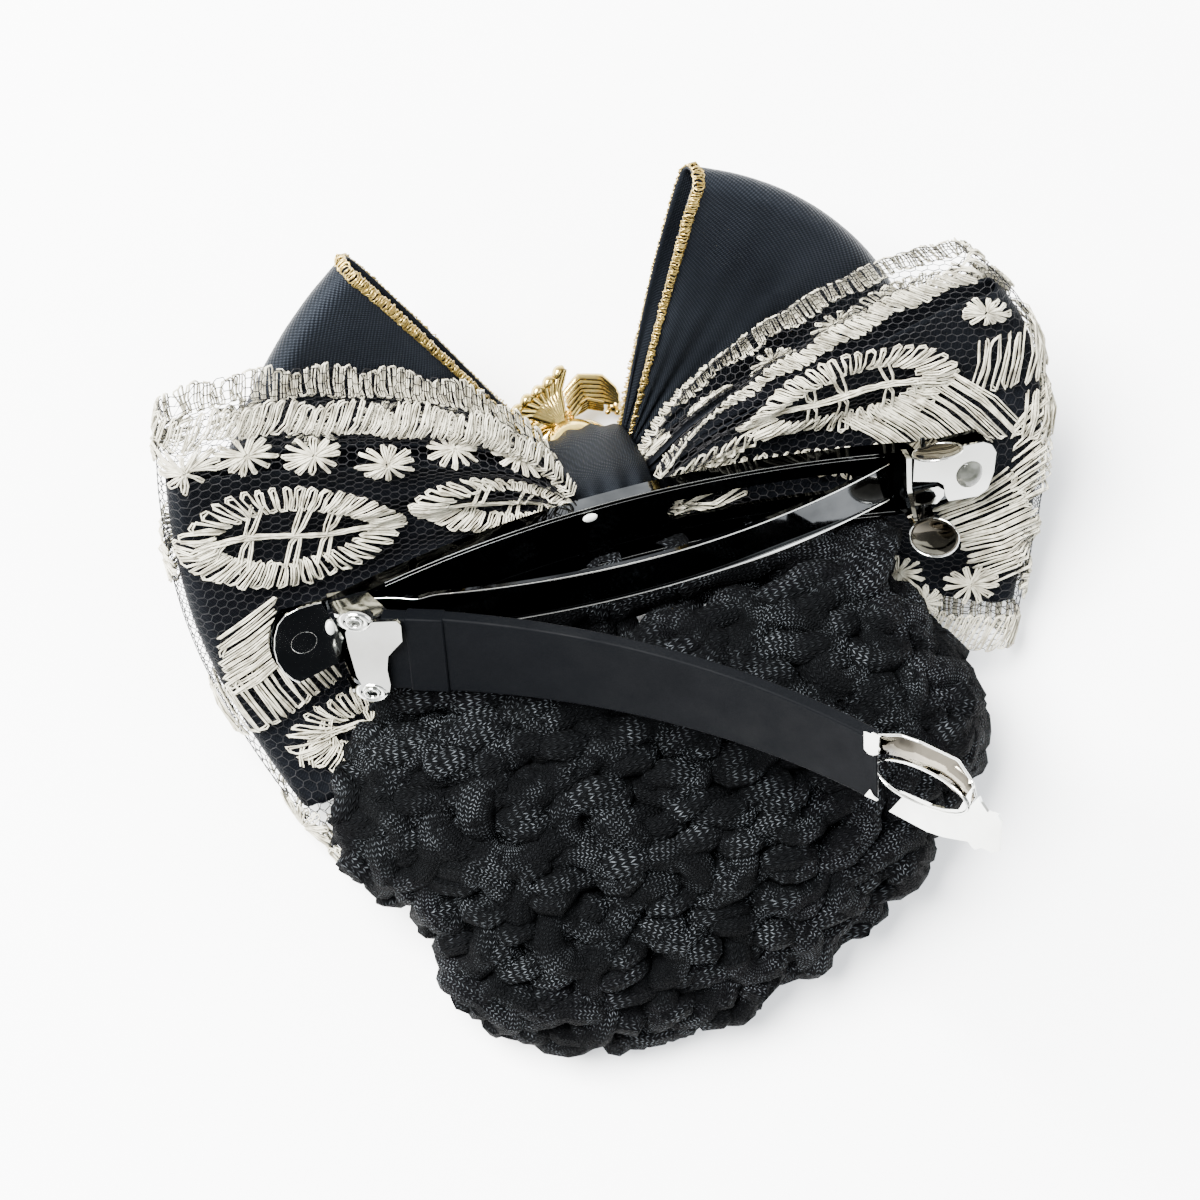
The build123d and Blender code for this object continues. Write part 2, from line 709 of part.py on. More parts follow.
on_clasp = {
    "base_plate": base_plate,
    "tension_bar": tension_bar,
    "catch": catch,
    "hinge_rivet_upper": hinge_rivet_upper,
    "hinge_rivet_lower": hinge_rivet_lower,
    "arm_bar": arm_bar,
    "arm_sleeve": arm_sleeve,
    "knot_band": knot_band,
    "ornament": ornament,
    "satin_loop_left": satin_loop_left,
    "satin_loop_right": satin_loop_right,
    "lining_loop_left": lining_loop_left,
    "lining_loop_right": lining_loop_right,
    "lace_loop_left": lace_loop_left,
    "lace_loop_right": lace_loop_right,
}
for piece in on_clasp.values():
    piece.part.move(Location((0, 0, clasp_height), (lean_angle, 0, 0)))

pieces = {**on_clasp, "snood_bag": snood_bag}
boxes = [piece.part.bounding_box() for piece in pieces.values()]
middle_x = (min(box.min.X for box in boxes) + max(box.max.X for box in boxes)) / 2
middle_y = (min(box.min.Y for box in boxes) + max(box.max.Y for box in boxes)) / 2
lowest = min(box.min.Z for box in boxes)
print("clasp's middle stands at", round(-middle_x, 3), round(-middle_y, 3),
      round(clasp_height - lowest, 3))

for name, piece in pieces.items():
    piece.part.move(Location((-middle_x, -middle_y, -lowest)))
    piece.part.label = name
    export_step(piece.part, f"parts/{name}.step")
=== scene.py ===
"""Looks of the snood hair clip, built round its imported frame.

Lengths are in millimetres until they reach the row frame, which is in metres. The clasp's frame has X
along the clasp from its hinge to its catch, Y to the top of the bow and N from the bow to the head.
"""
import json
from collections import namedtuple
from math import cos, pi, radians, sin

import bmesh
import bpy
import numpy as np
from mathutils import Matrix, Vector


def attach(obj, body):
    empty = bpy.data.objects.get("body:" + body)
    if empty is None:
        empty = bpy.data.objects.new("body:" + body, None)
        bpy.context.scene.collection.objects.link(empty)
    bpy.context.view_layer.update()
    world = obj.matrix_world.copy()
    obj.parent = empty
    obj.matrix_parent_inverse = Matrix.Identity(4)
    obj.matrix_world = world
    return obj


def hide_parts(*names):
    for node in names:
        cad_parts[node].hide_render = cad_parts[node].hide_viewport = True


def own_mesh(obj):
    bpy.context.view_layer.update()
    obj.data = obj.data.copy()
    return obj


MM = 0.001

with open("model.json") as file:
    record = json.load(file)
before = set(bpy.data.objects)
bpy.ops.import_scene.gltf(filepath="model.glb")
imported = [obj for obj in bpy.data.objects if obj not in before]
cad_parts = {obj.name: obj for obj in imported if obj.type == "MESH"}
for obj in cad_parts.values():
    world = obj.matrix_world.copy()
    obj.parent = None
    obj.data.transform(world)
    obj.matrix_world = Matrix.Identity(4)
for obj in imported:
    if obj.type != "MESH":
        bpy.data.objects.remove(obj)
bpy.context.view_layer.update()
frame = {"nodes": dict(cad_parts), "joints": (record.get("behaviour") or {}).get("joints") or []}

# The clasp's frame, from the hinge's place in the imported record

LEAN = radians(40)
ALONG = Vector((1, 0, 0))
UPWARD = Vector((0, cos(LEAN), sin(LEAN)))
HEADWARD = Vector((0, -sin(LEAN), cos(LEAN)))
HINGE_REACH, HINGE_HEIGHT, CLASP_HEIGHT = 31.0, 8.8, 17.0
HINGE = Vector(frame["joints"][0]["pos_m"])
MIDDLE = HINGE + HINGE_REACH * MM * ALONG - HINGE_HEIGHT * MM * HEADWARD
REST = MIDDLE - Vector((0, 0, CLASP_HEIGHT * MM))
CLASP = (Matrix.Translation(MIDDLE) @ Matrix((ALONG, UPWARD, HEADWARD)).transposed().to_4x4()
         @ Matrix.Scale(MM, 4))
ARM_OPEN = radians(26.5)
BASE_RISE, BEND_REACH = 5.2, 33.0
BASE_RADIUS = (BEND_REACH ** 2 + BASE_RISE ** 2) / (2 * BASE_RISE)


def clasp_points(points):
    """Points of the clasp's frame, in the row frame."""
    axes = np.array([ALONG, UPWARD, HEADWARD])
    return np.array(MIDDLE) + MM * (np.asarray(points) @ axes)


def base_level(reach):
    """Height of the channel's floor at a distance from its middle."""
    return BASE_RADIUS - np.sqrt(BASE_RADIUS ** 2 - reach ** 2)


# Materials. Lengths of weave and knit are in millimetres

TWILL_ALONG, TWILL_ACROSS, TWILL_ROW = 0.42, 0.84, 0.36
KNIT_COLUMN, KNIT_ROW, KNIT_SLANT = 0.76, 0.45, 1.5


def new_material(name, colour, roughness, metallic=0.0, **sockets):
    """A material with its principled shader's own sockets set."""
    made = bpy.data.materials.new(name)
    made.use_nodes = True
    shader = made.node_tree.nodes["Principled BSDF"]
    shader.inputs["Base Color"].default_value = (*colour, 1)
    shader.inputs["Roughness"].default_value = roughness
    shader.inputs["Metallic"].default_value = metallic
    for socket, value in sockets.items():
        shader.inputs[socket.replace("_", " ")].default_value = value
    return made


def node(made, kind, inputs=None, output=0, **settings):
    """Adds a shader node with its settings and inputs, and returns one of its outputs."""
    tree = made.node_tree
    added = tree.nodes.new("ShaderNode" + kind)
    for setting, value in settings.items():
        setattr(added, setting, value)
    for socket, value in (inputs or {}).items():
        if isinstance(value, bpy.types.NodeSocket):
            tree.links.new(value, added.inputs[socket])
        else:
            added.inputs[socket].default_value = value
    return added.outputs[output]


def link_shader(made, socket, value):
    """Feeds an input of a material's principled shader."""
    made.node_tree.links.new(value, made.node_tree.nodes["Principled BSDF"].inputs[socket])


def arithmetic(made, operation, first, second=0.0):
    """A sum, product or other operation on two numbers or outputs."""
    return node(made, "Math", {0: first, 1: second}, operation=operation)


def colour_between(made, share, low, high):
    """A colour that goes from low to high with a share. Each end is a colour or an output."""
    ends = [end if isinstance(end, bpy.types.NodeSocket) else (*end, 1) for end in (low, high)]
    return node(made, "Mix", {0: share, 6: ends[0], 7: ends[1]}, output=2, data_type="RGBA")


def spread_over(made, value, low, high, to_low=0.0, to_high=1.0):
    """A value taken from one range to another and held inside it."""
    return node(made, "MapRange", {0: value, 1: low, 2: high, 3: to_low, 4: to_high})


def noise_at(made, coordinates, per_metre, detail):
    """Noise from 0 to 1 at a scale."""
    return node(made, "TexNoise", {"Vector": coordinates, "Scale": per_metre, "Detail": detail,
                                   "Roughness": 0.5})


def raise_bump(made, height, distance, strength):
    """Bump from a height between 0 and 1 that stands for a distance in millimetres."""
    bump = node(made, "Bump", {"Height": height, "Distance": distance * MM, "Strength": strength})
    link_shader(made, "Normal", bump)


def object_place(made):
    """The place of a point in the row frame."""
    return node(made, "TexCoord", output=3)


def cloth_place(made):
    """The flat place of a point on cloth or cord."""
    return node(made, "TexCoord", output=2)


def split_place(made, coordinates):
    """The two flat coordinates of a place, in millimetres."""
    parts = node(made, "SeparateXYZ", {0: coordinates}).node
    return parts.outputs[0], parts.outputs[1]


def make_metal(name, low, high):
    """Polished plating, cloudy between two colours and slightly uneven."""
    made = new_material(name, high, 0.06, 1.0)
    place = object_place(made)
    cloud = noise_at(made, place, 160, 4)
    fine = noise_at(made, place, 2600, 2)
    link_shader(made, "Roughness", spread_over(made, cloud, 0.35, 0.75, 0.03, 0.10))
    waves = noise_at(made, place, 90, 1)
    link_shader(made, "Base Color", colour_between(made, spread_over(made, cloud, 0.35, 0.65), low, high))
    height = arithmetic(made, "ADD", waves, arithmetic(made, "MULTIPLY", fine, 0.01))
    raise_bump(made, height, 0.04, 0.5)
    return made


def make_sleeve_rubber():
    """Dull black rubber with a fine grain."""
    made = new_material("sleeve_rubber", (0.0007, 0.0009, 0.0013), 0.55, Specular_IOR_Level=0.022)
    place = object_place(made)
    grain = noise_at(made, place, 5200, 3)
    link_shader(made, "Roughness", spread_over(made, noise_at(made, place, 260, 4), 0.3, 0.7, 0.44, 0.62))
    raise_bump(made, grain, 0.02, 0.6)
    return made


def make_satin(name, colour, sheen_colour, roughness):
    """Satin with the rows of small twill dots that its weave shows close up, raised as bumps and painted
    lighter in patches: a painted sheen.
    """
    made = new_material(name, colour, roughness, Specular_IOR_Level=0.07, Specular_Tint=(0.7, 0.82, 1, 1),
                        Anisotropic=0.5)
    along, across = split_place(made, cloth_place(made))
    slant = arithmetic(made, "ADD", arithmetic(made, "MULTIPLY", along, 2 * pi / TWILL_ALONG),
                       arithmetic(made, "MULTIPLY", across, 2 * pi / TWILL_ACROSS))
    weft = arithmetic(made, "SINE", slant)
    warp = arithmetic(made, "SINE", arithmetic(made, "MULTIPLY", across, 2 * pi / TWILL_ROW))
    dots = spread_over(made, arithmetic(made, "MULTIPLY", weft, warp), -0.3, 0.9)
    # Noise patches in which the dots are painted lighter towards the sheen colour: a painted sheen.
    patch = noise_at(made, object_place(made), 75, 3)
    lit = arithmetic(made, "MULTIPLY", dots, spread_over(made, patch, 0.35, 0.75, 0.25, 1.0))
    link_shader(made, "Base Color", colour_between(made, lit, colour, sheen_colour))
    raise_bump(made, dots, 0.06, 0.8)
    return made


def make_thread(name, low, high):
    """Twisted embroidery thread, lighter and darker from place to place."""
    made = new_material(name, high, 0.6, Specular_IOR_Level=0.15)
    place = object_place(made)
    patch = noise_at(made, place, 900, 3)
    link_shader(made, "Base Color", colour_between(made, spread_over(made, patch, 0.3, 0.62), low, high))
    raise_bump(made, noise_at(made, place, 6500, 2), 0.05, 0.7)
    return made


def make_knitted_cord():
    """Tubular knit: columns of slanted stitches that meet in a V, with pale specks on their crests, painted
    as highlights of the shiny yarn.
    """
    made = new_material("knitted_cord", (0.0008, 0.0009, 0.0011), 0.75, Specular_IOR_Level=0.022)
    along, around = split_place(made, cloth_place(made))
    wale = arithmetic(made, "PINGPONG", arithmetic(made, "DIVIDE", around, KNIT_COLUMN), 0.5)
    slanted = arithmetic(made, "ADD", arithmetic(made, "DIVIDE", along, KNIT_ROW),
                         arithmetic(made, "MULTIPLY", wale, KNIT_SLANT))
    row = arithmetic(made, "PINGPONG", slanted, 0.5)
    yarn = spread_over(made, row, 0.08, 0.46)
    middle = spread_over(made, arithmetic(made, "ABSOLUTE", arithmetic(made, "SUBTRACT", wale, 0.25)),
                         0.25, 0.12)
    stitch = arithmetic(made, "MULTIPLY", yarn, middle)
    place = object_place(made)
    # Specks on the stitch crests, in patches, painted pale as highlights: a painted highlight.
    speck = arithmetic(made, "MULTIPLY", spread_over(made, stitch, 0.45, 0.9),
                       spread_over(made, noise_at(made, place, 1100, 2), 0.36, 0.6))
    patch = spread_over(made, noise_at(made, place, 190, 2), 0.43, 0.60, 0.06, 1.0)
    lit = arithmetic(made, "MULTIPLY", speck, patch)
    link_shader(made, "Base Color",
                colour_between(made, lit, (0.0007, 0.0008, 0.0010), (0.054, 0.060, 0.066)))
    raise_bump(made, stitch, 0.20, 1.0)
    return made


def make_gold(name, low, high, roughness):
    """Cast or woven gold, uneven between two colours."""
    made = new_material(name, high, roughness, 1.0)
    place = object_place(made)
    link_shader(made, "Base Color", colour_between(made, noise_at(made, place, 700, 2), low, high))
    raise_bump(made, noise_at(made, place, 2200, 2), 0.05, 0.5)
    return made


def make_glue(name, low, high, roughness):
    """Hardened glue with a cloudy middle."""
    made = new_material(name, high, roughness, Specular_IOR_Level=0.3)
    cloud = noise_at(made, object_place(made), 700, 3)
    link_shader(made, "Base Color", colour_between(made, spread_over(made, cloud, 0.35, 0.65), low, high))
    raise_bump(made, cloud, 0.05, 0.4)
    return made


# The three platings are one polished metal: the first is its own colour, the second is painted darker and
# tan, a painted shade and reflection, and the third is painted near black, a painted dark reflection of
# what faces it.
bright_metal = make_metal("bright_plate", (0.50, 0.50, 0.47), (0.62, 0.63, 0.60))
shaded_metal = make_metal("shaded_plate", (0.035, 0.032, 0.026), (0.19, 0.17, 0.135))
dark_reflection_metal = make_metal("dark_reflection_plate", (0.008, 0.009, 0.010), (0.030, 0.032, 0.034))
sleeve_rubber = make_sleeve_rubber()
satin = make_satin("black_satin_face", (0.0014, 0.0017, 0.0023), (0.0140, 0.0165, 0.0210), 0.50)
# The knot's satin is the loops' black satin made darker: painted shade.
shaded_knot_satin = make_satin("knot_satin_face", (0.0005, 0.0006, 0.0008), (0.0052, 0.0062, 0.0080), 0.60)
lining_cloth = make_satin("lining_cloth", (0.0009, 0.0010, 0.0014), (0.0026, 0.0030, 0.0040), 0.70)
ivory_thread = make_thread("ivory_thread", (0.17, 0.155, 0.115), (0.46, 0.44, 0.35))
net_thread = make_thread("net_thread", (0.003, 0.003, 0.0035), (0.009, 0.009, 0.010))
knitted_cord = make_knitted_cord()
gold_cast = make_gold("gold_cast_plate", (0.30, 0.20, 0.04), (0.80, 0.62, 0.22), 0.20)
gold_lurex = make_gold("gold_lurex", (0.12, 0.075, 0.015), (0.66, 0.49, 0.16), 0.34)
glue = make_glue("clear_glue", (0.040, 0.042, 0.035), (0.085, 0.088, 0.076), 0.06)
glue_speck = make_glue("pale_glue_speck", (0.35, 0.36, 0.34), (0.55, 0.56, 0.53), 0.3)


# Shared ways to make pieces

MERGE_DISTANCE, FLAT_ANGLE, SHARP_ANGLE, PLATE_ANGLE = 0.002, radians(0.5), radians(32), radians(50)


def new_piece(name, mesh, made, body="root", smooth=True):
    """An object for a finished mesh that sits in the row frame."""
    piece = bpy.data.objects.new(name, mesh)
    bpy.context.scene.collection.objects.link(piece)
    mesh.materials.clear()
    mesh.materials.append(made)
    mesh.polygons.foreach_set("use_smooth", [smooth] * len(mesh.polygons))
    mesh.update()
    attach(piece, body)
    return piece


def mesh_from(name, shape):
    """A mesh from a bmesh, with its normals turned out."""
    bmesh.ops.recalc_face_normals(shape, faces=shape.faces)
    mesh = bpy.data.meshes.new(name)
    shape.to_mesh(mesh)
    shape.free()
    return mesh


def round_edges(piece, width):
    """Rounds the edges where faces meet at more than an angle."""
    bevel = piece.modifiers.new("edges", "BEVEL")
    bevel.width = width * MM
    bevel.segments = 2
    bevel.limit_method = "ANGLE"
    bevel.angle_limit = radians(38)


def smooth_by_angle(piece, steep=SHARP_ANGLE):
    """Keeps edges sharp where faces meet at more than an angle."""
    shape = bmesh.new()
    shape.from_mesh(piece.data)
    for edge in shape.edges:
        if len(edge.link_faces) == 2:
            edge.smooth = edge.calc_face_angle(0) < steep
    shape.to_mesh(piece.data)
    shape.free()
    return piece


def frame_copy(node_name, name, made, body="root", round_width=0.1):
    """A merged copy of a piece of the frame with its edges rounded."""
    shape = bmesh.new()
    shape.from_mesh(frame["nodes"][node_name].data)
    bmesh.ops.remove_doubles(shape, verts=shape.verts, dist=MERGE_DISTANCE * MM)
    bmesh.ops.dissolve_limit(shape, angle_limit=FLAT_ANGLE, verts=shape.verts, edges=shape.edges)
    piece = new_piece(name, mesh_from(name, shape), made, body)
    smooth_by_angle(piece)
    round_edges(piece, round_width)
    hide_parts(node_name)
    return piece


def tube_mesh(name, lines, radius, sides=4, closed=False, radii=None):
    """Round threads along lists of points in the row frame, as one mesh."""
    curve = bpy.data.curves.new(name, "CURVE")
    curve.dimensions = "3D"
    curve.bevel_depth = radius * MM
    curve.bevel_resolution = (sides - 4) // 2
    curve.use_fill_caps = not closed
    for index, line in enumerate(lines):
        spline = curve.splines.new("POLY")
        spline.points.add(len(line) - 1)
        spline.points.foreach_set("co", np.c_[line, np.ones(len(line))].astype(np.float32).ravel())
        if radii is not None:
            spline.points.foreach_set("radius", radii[index].astype(np.float32))
        spline.use_cyclic_u = closed
    holder = bpy.data.objects.new(name, curve)
    mesh = bpy.data.meshes.new_from_object(holder)
    mesh.name = name
    bpy.data.objects.remove(holder)
    bpy.data.curves.remove(curve)
    return mesh


def join_meshes(name, meshes):
    """Several meshes as one, with their flat coordinates kept."""
    shape = bmesh.new()
    for mesh in meshes:
        shape.from_mesh(mesh)
        bpy.data.meshes.remove(mesh)
    joined = bpy.data.meshes.new(name)
    shape.to_mesh(joined)
    shape.free()
    return joined


def flat_cloth(length, width, steps_along, steps_across):
    """A flat grid with its corner at the origin and its flat coordinates in millimetres, as a bmesh."""
    shape = bmesh.new()
    bmesh.ops.create_grid(shape, x_segments=steps_along, y_segments=steps_across, size=0.5)
    places = shape.loops.layers.uv.new("UVMap")
    for vert in shape.verts:
        vert.co = Vector(((vert.co.x + 0.5) * length, (vert.co.y + 0.5) * width, 0))
    for face in shape.faces:
        for loop in face.loops:
            loop[places].uv = loop.vert.co.xy
    return shape


def wrap(shape, surface):
    """Moves every vertex of a flat bmesh onto a surface that takes flat places and heights."""
    flat = np.array([vert.co for vert in shape.verts])
    for vert, place in zip(shape.verts, surface(flat[:, 0], flat[:, 1], flat[:, 2])):
        vert.co = place


def column(rows, name, share):
    """A column of a table at shares between its rows, on a smooth curve through them."""
    keys = np.array([row[0] for row in rows])
    values = np.array([getattr(row, name) for row in rows])
    index = np.clip(np.searchsorted(keys[1:-1], share), 0, len(keys) - 2)
    part = (share - keys[index]) / (keys[index + 1] - keys[index])
    before = values[np.maximum(index - 1, 0)]
    after = values[np.minimum(index + 2, len(keys) - 1)]
    start, end = values[index], values[index + 1]
    lead_in, lead_out = (end - before) / 2, (after - start) / 2
    return (start * (2 * part ** 3 - 3 * part ** 2 + 1) + lead_in * (part ** 3 - 2 * part ** 2 + part)
            + end * (3 * part ** 2 - 2 * part ** 3) + lead_out * (part ** 3 - part ** 2))


# Ribbon loops: the same fans as the frame's, as a surface that flat ribbon is laid on

FanRow = namedtuple("FanRow", "across angle reach lift")
Loop = namedtuple("Loop", "side rows reach level gaps pleat spread width inset gathers")
KNOT_EDGE, GATHER_HALF, CLOTH = 4.3, 2.2, 1.0
PLEATS, PLEAT_START, GATHERS = 2.5, 0.6, 8
SPREAD_FADE, GATHER_FADE, KNOT_FADE = 0.12, 0.35, 0.03
SETTLE = 0.8
LACE_GAPS, LINING_GAPS, SATIN_GAPS = (2.1, 2.4, 0.9), (1.15, 1.6, 0.7), (0.9, 1.7, 0.5)
LACE_LEVEL, SATIN_LEVEL = -4.5, -11.5
LACE_WIDTH, SATIN_WIDTH = 60.0, 26.0
LACE_LEFT_ROWS = (
    FanRow(0.00, 27.5, 1.09, -0.065),
    FanRow(0.25, 14.0, 1.02, -0.060),
    FanRow(0.50, -3.0, 0.97, -0.035),
    FanRow(0.75, -20.5, 0.95, 0.010),
    FanRow(1.00, -42.0, 0.97, 0.150),
)
LACE_RIGHT_ROWS = (
    FanRow(0.00, 29.5, 0.95, -0.060),
    FanRow(0.25, 13.0, 1.02, -0.040),
    FanRow(0.50, -8.0, 1.01, 0.020),
    FanRow(0.75, -20.0, 1.02, 0.040),
    FanRow(1.00, -32.5, 1.05, 0.080),
)
SATIN_LEFT_ROWS = (
    FanRow(0.00, 54.5, 1.03, -0.260),
    FanRow(0.50, 30.0, 1.01, -0.262),
    FanRow(1.00, 6.0, 1.03, -0.265),
)
SATIN_RIGHT_ROWS = (
    FanRow(0.00, 69.5, 0.92, -0.260),
    FanRow(0.50, 40.0, 0.93, -0.262),
    FanRow(1.00, 12.0, 0.95, -0.265),
)
lace_left = Loop(-1, LACE_LEFT_ROWS, 48.0, LACE_LEVEL, LACE_GAPS, 1.1, 9.5, LACE_WIDTH, 0.0, 1.2)
lace_right = Loop(1, LACE_RIGHT_ROWS, 48.0, LACE_LEVEL, LACE_GAPS, 1.7, 6.5, LACE_WIDTH, 0.0, 1.5)
lining_left = lace_left._replace(gaps=LINING_GAPS, inset=0.9)
lining_right = lace_right._replace(gaps=LINING_GAPS, inset=0.9)
satin_left = Loop(-1, SATIN_LEFT_ROWS, 40.0, SATIN_LEVEL, SATIN_GAPS, 0.35, 0.5, SATIN_WIDTH, 0.0, 0.35)
satin_right = Loop(1, SATIN_RIGHT_ROWS, 40.0, SATIN_LEVEL, SATIN_GAPS, 0.35, 0.5, SATIN_WIDTH, 0.0, 0.35)


def half_gap(share, gaps):
    """Half the distance between a loop's two layers at a share of its reach."""
    return gaps[0] + (gaps[1] - gaps[0]) * share + gaps[2] * np.sin(pi * share)


def surface_level(across):
    """Height in the clasp's frame of the surface that the clip lies on."""
    return (-CLASP_HEIGHT - across * sin(LEAN)) / cos(LEAN)


def layer_run(loop):
    """Length of one layer of a loop, between the knot and the start of its fold."""
    return loop.reach - loop.gaps[1] - loop.inset - KNOT_EDGE


def fold_half(loop):
    """Half the length of the ribbon in the round of a loop's fold."""
    return pi * loop.gaps[1] / 2


def loop_middle(loop, walk, across, grow=0.0):
    """A loop's surface in the clasp's frame. Walk is the ribbon's length from the outermost line of its
    fold, above 0 on the head's side. Grow moves both layers apart."""
    fold, half = loop.gaps[1], fold_half(loop)
    flat_share = np.clip(1 - (np.abs(walk) - half) / layer_run(loop), 0, 1)
    turn = pi / 2 * (1 - np.clip(walk / half, -1, 1))
    layer = np.cos(turn) * (1 + grow)
    over = np.sin(turn) * fold * (1 + grow)
    angle = np.radians(column(loop.rows, "angle", across))
    fold_reach = loop.reach * column(loop.rows, "reach", across) - fold - loop.inset
    knot_y = GATHER_HALF * (1 - 2 * across)
    x = KNOT_EDGE + (fold_reach * np.cos(angle) - KNOT_EDGE) * flat_share + over * np.cos(angle)
    y = knot_y + (fold_reach * np.sin(angle) - knot_y) * flat_share + over * np.sin(angle)
    shape = (1 - np.exp(-flat_share / SPREAD_FADE)) * (1 - flat_share) ** 0.5
    sideways = loop.spread * (1 - 2 * across) * shape
    y = y + sideways * np.cos(angle)
    x = x - sideways * flat_share * np.sin(angle)
    lift = loop.reach * column(loop.rows, "lift", across)
    middle = loop.level + (lift - loop.level) * flat_share ** 2
    swell = loop.pleat * 3 * flat_share * (1 - flat_share) ** 1.5
    wave = swell * np.cos(2 * pi * (PLEATS * across + PLEAT_START))
    gathers = loop.gathers * np.exp(-flat_share / GATHER_FADE) * (1 - np.exp(-flat_share / KNOT_FADE))
    wave = wave + gathers * np.cos(2 * pi * GATHERS * across)
    floor = surface_level(y) + half_gap(flat_share, LACE_GAPS) + CLOTH / 2 + swell
    gap = middle - floor
    middle = (middle + floor + np.sqrt(gap ** 2 + SETTLE ** 2)) / 2
    height = middle + wave + layer * half_gap(flat_share, loop.gaps)
    return np.stack([loop.side * x, y, height], axis=-1)


def on_loop(loop, walk, across_mm, height):
    """Places on a loop's ribbon in the row frame, at heights above its outer face. Places past the
    ribbon's edge go straight on from it."""
    across = np.clip(np.asarray(across_mm) / loop.width, 0, 1)
    beyond = np.asarray(across_mm) - across * loop.width
    step, side_step, tiny = 0.02, 0.001, 1e-9
    here = loop_middle(loop, walk, across)
    ahead = loop_middle(loop, walk + step, across) - loop_middle(loop, walk - step, across)
    aside = (loop_middle(loop, walk, np.minimum(across + side_step, 1))
             - loop_middle(loop, walk, np.maximum(across - side_step, 0)))
    aside /= np.maximum(np.linalg.norm(aside, axis=-1, keepdims=True), tiny)
    outward = np.cross(ahead, aside)
    outward /= np.maximum(np.linalg.norm(outward, axis=-1, keepdims=True), tiny)
    hint = loop_middle(loop, walk, across, 0.05) - here
    outward *= np.where((outward * hint).sum(-1, keepdims=True) < 0, -1, 1)
    return clasp_points(here + outward * np.asarray(height)[..., None] + aside * beyond[..., None])


def lines_on_loop(loop, lines):
    """Flat threads, as rows of (length along, place across, height), laid on a loop's ribbon."""
    every = np.concatenate(lines)
    placed = on_loop(loop, every[:, 0], every[:, 1], every[:, 2])
    return np.split(placed, np.cumsum([len(line) for line in lines])[:-1])


def ribbon_cloth(name, loop, low, high, made, thickness, steps=(150, 60)):
    """A length of cloth that goes out along a loop, round its fold and back."""
    reach = layer_run(loop) + fold_half(loop)
    shape = flat_cloth(2 * reach, high - low, *steps)
    wrap(shape, lambda along, across, height: on_loop(loop, along - reach, low + across, height))
    piece = new_piece(name, mesh_from(name, shape), made)
    wall = piece.modifiers.new("wall", "SOLIDIFY")
    wall.thickness = thickness * MM
    wall.offset = 0
    return piece, 2 * reach


# Lace: stitches drawn flat, as rows of (length along the ribbon, place across it, height)

STITCH, STITCH_LIFT, LACE_BEYOND = 0.105, (0.2, 0.62), 3.4
END_MARGIN, EDGE_MARGIN = 0.4, 0.1
TWIN_APART, TWIN_CHANCE, TWIN_LIFT = np.array((0.10, 0.085, 0.05)), (0.05, 0.06, 0.05), 0.12
SCALLOP, SCALLOP_LENGTH, STAR_SPOKES = 1.1, 7.6, 12
LEFT_REPEAT, RIGHT_REPEAT, STITCHED_REACH = 24.5, 37.0, 45.0
LEFT_NET_TOP, RIGHT_NET_TOP = -2.6, 0.15
NET_CELL, NET_THREAD = 1.12, 0.05
LINING_MARGIN, LINING_THICK, SATIN_THICK = LACE_WIDTH * 0.14, 0.18, 0.3
SELVAGE_EDGE, SELVAGE_WIDTH, SELVAGE_THREAD = 0.05, 1.3, 0.10
stitch_chance = np.random.default_rng(11)


def spaced(line, count):
    """A line's points at even distances, with their places as shares of its length."""
    steps = np.r_[0, np.cumsum(np.linalg.norm(np.diff(line, axis=0), axis=1))]
    at = np.linspace(0, steps[-1], count)
    return np.stack([np.interp(at, steps, line[:, axis]) for axis in range(line.shape[1])], axis=1)


def satin_stitch(inner, outer, pitch, jitter=0.16):
    """One thread that runs to and fro between two lines, with a round turn at each end."""
    middle = (inner + outer) / 2
    length = np.linalg.norm(np.diff(middle, axis=0), axis=1).sum()
    count = max(3, int(round(2 * length / pitch)))
    inner, outer = spaced(inner, count), spaced(outer, count)
    thread = []
    for step in range(count):
        start, end = (inner[step], outer[step]) if step % 2 == 0 else (outer[step], inner[step])
        sway = stitch_chance.normal(0, jitter, 2)
        start, end = start + sway * 0.4, end + sway
        following = (outer if step % 2 == 0 else inner)[min(step + 1, count - 1)]
        run = end - start
        unit = run / max(np.linalg.norm(run), 1e-6)
        end = end + unit * stitch_chance.uniform(-2 * jitter, jitter)
        side = np.array([-unit[1], unit[0]])
        bow = side * stitch_chance.uniform(-0.12, 0.12)
        lift = stitch_chance.uniform(*STITCH_LIFT)
        thread.append((*start, 0.14))
        thread.append((*(start * 0.55 + end * 0.45 + bow), lift))
        thread.append((*(end - unit * 0.15), lift * 0.7))
        thread.append((*(end * 0.6 + following * 0.4 + unit * 0.16), 0.12))
    return np.array(thread)


def strand(points, height=0.25):
    """Flat points as a thread at one height."""
    points = np.asarray(points, float)
    return np.c_[points, np.full(len(points), height)]


def turned(points, angle, centre):
    """Flat points turned about the origin and moved to a centre. Heights are kept."""
    spin, lift = np.cos(angle), np.sin(angle)
    moved = np.array(points, float)
    moved[:, 0] = centre[0] + spin * points[:, 0] - lift * points[:, 1]
    moved[:, 1] = centre[1] + lift * points[:, 0] + spin * points[:, 1]
    return moved


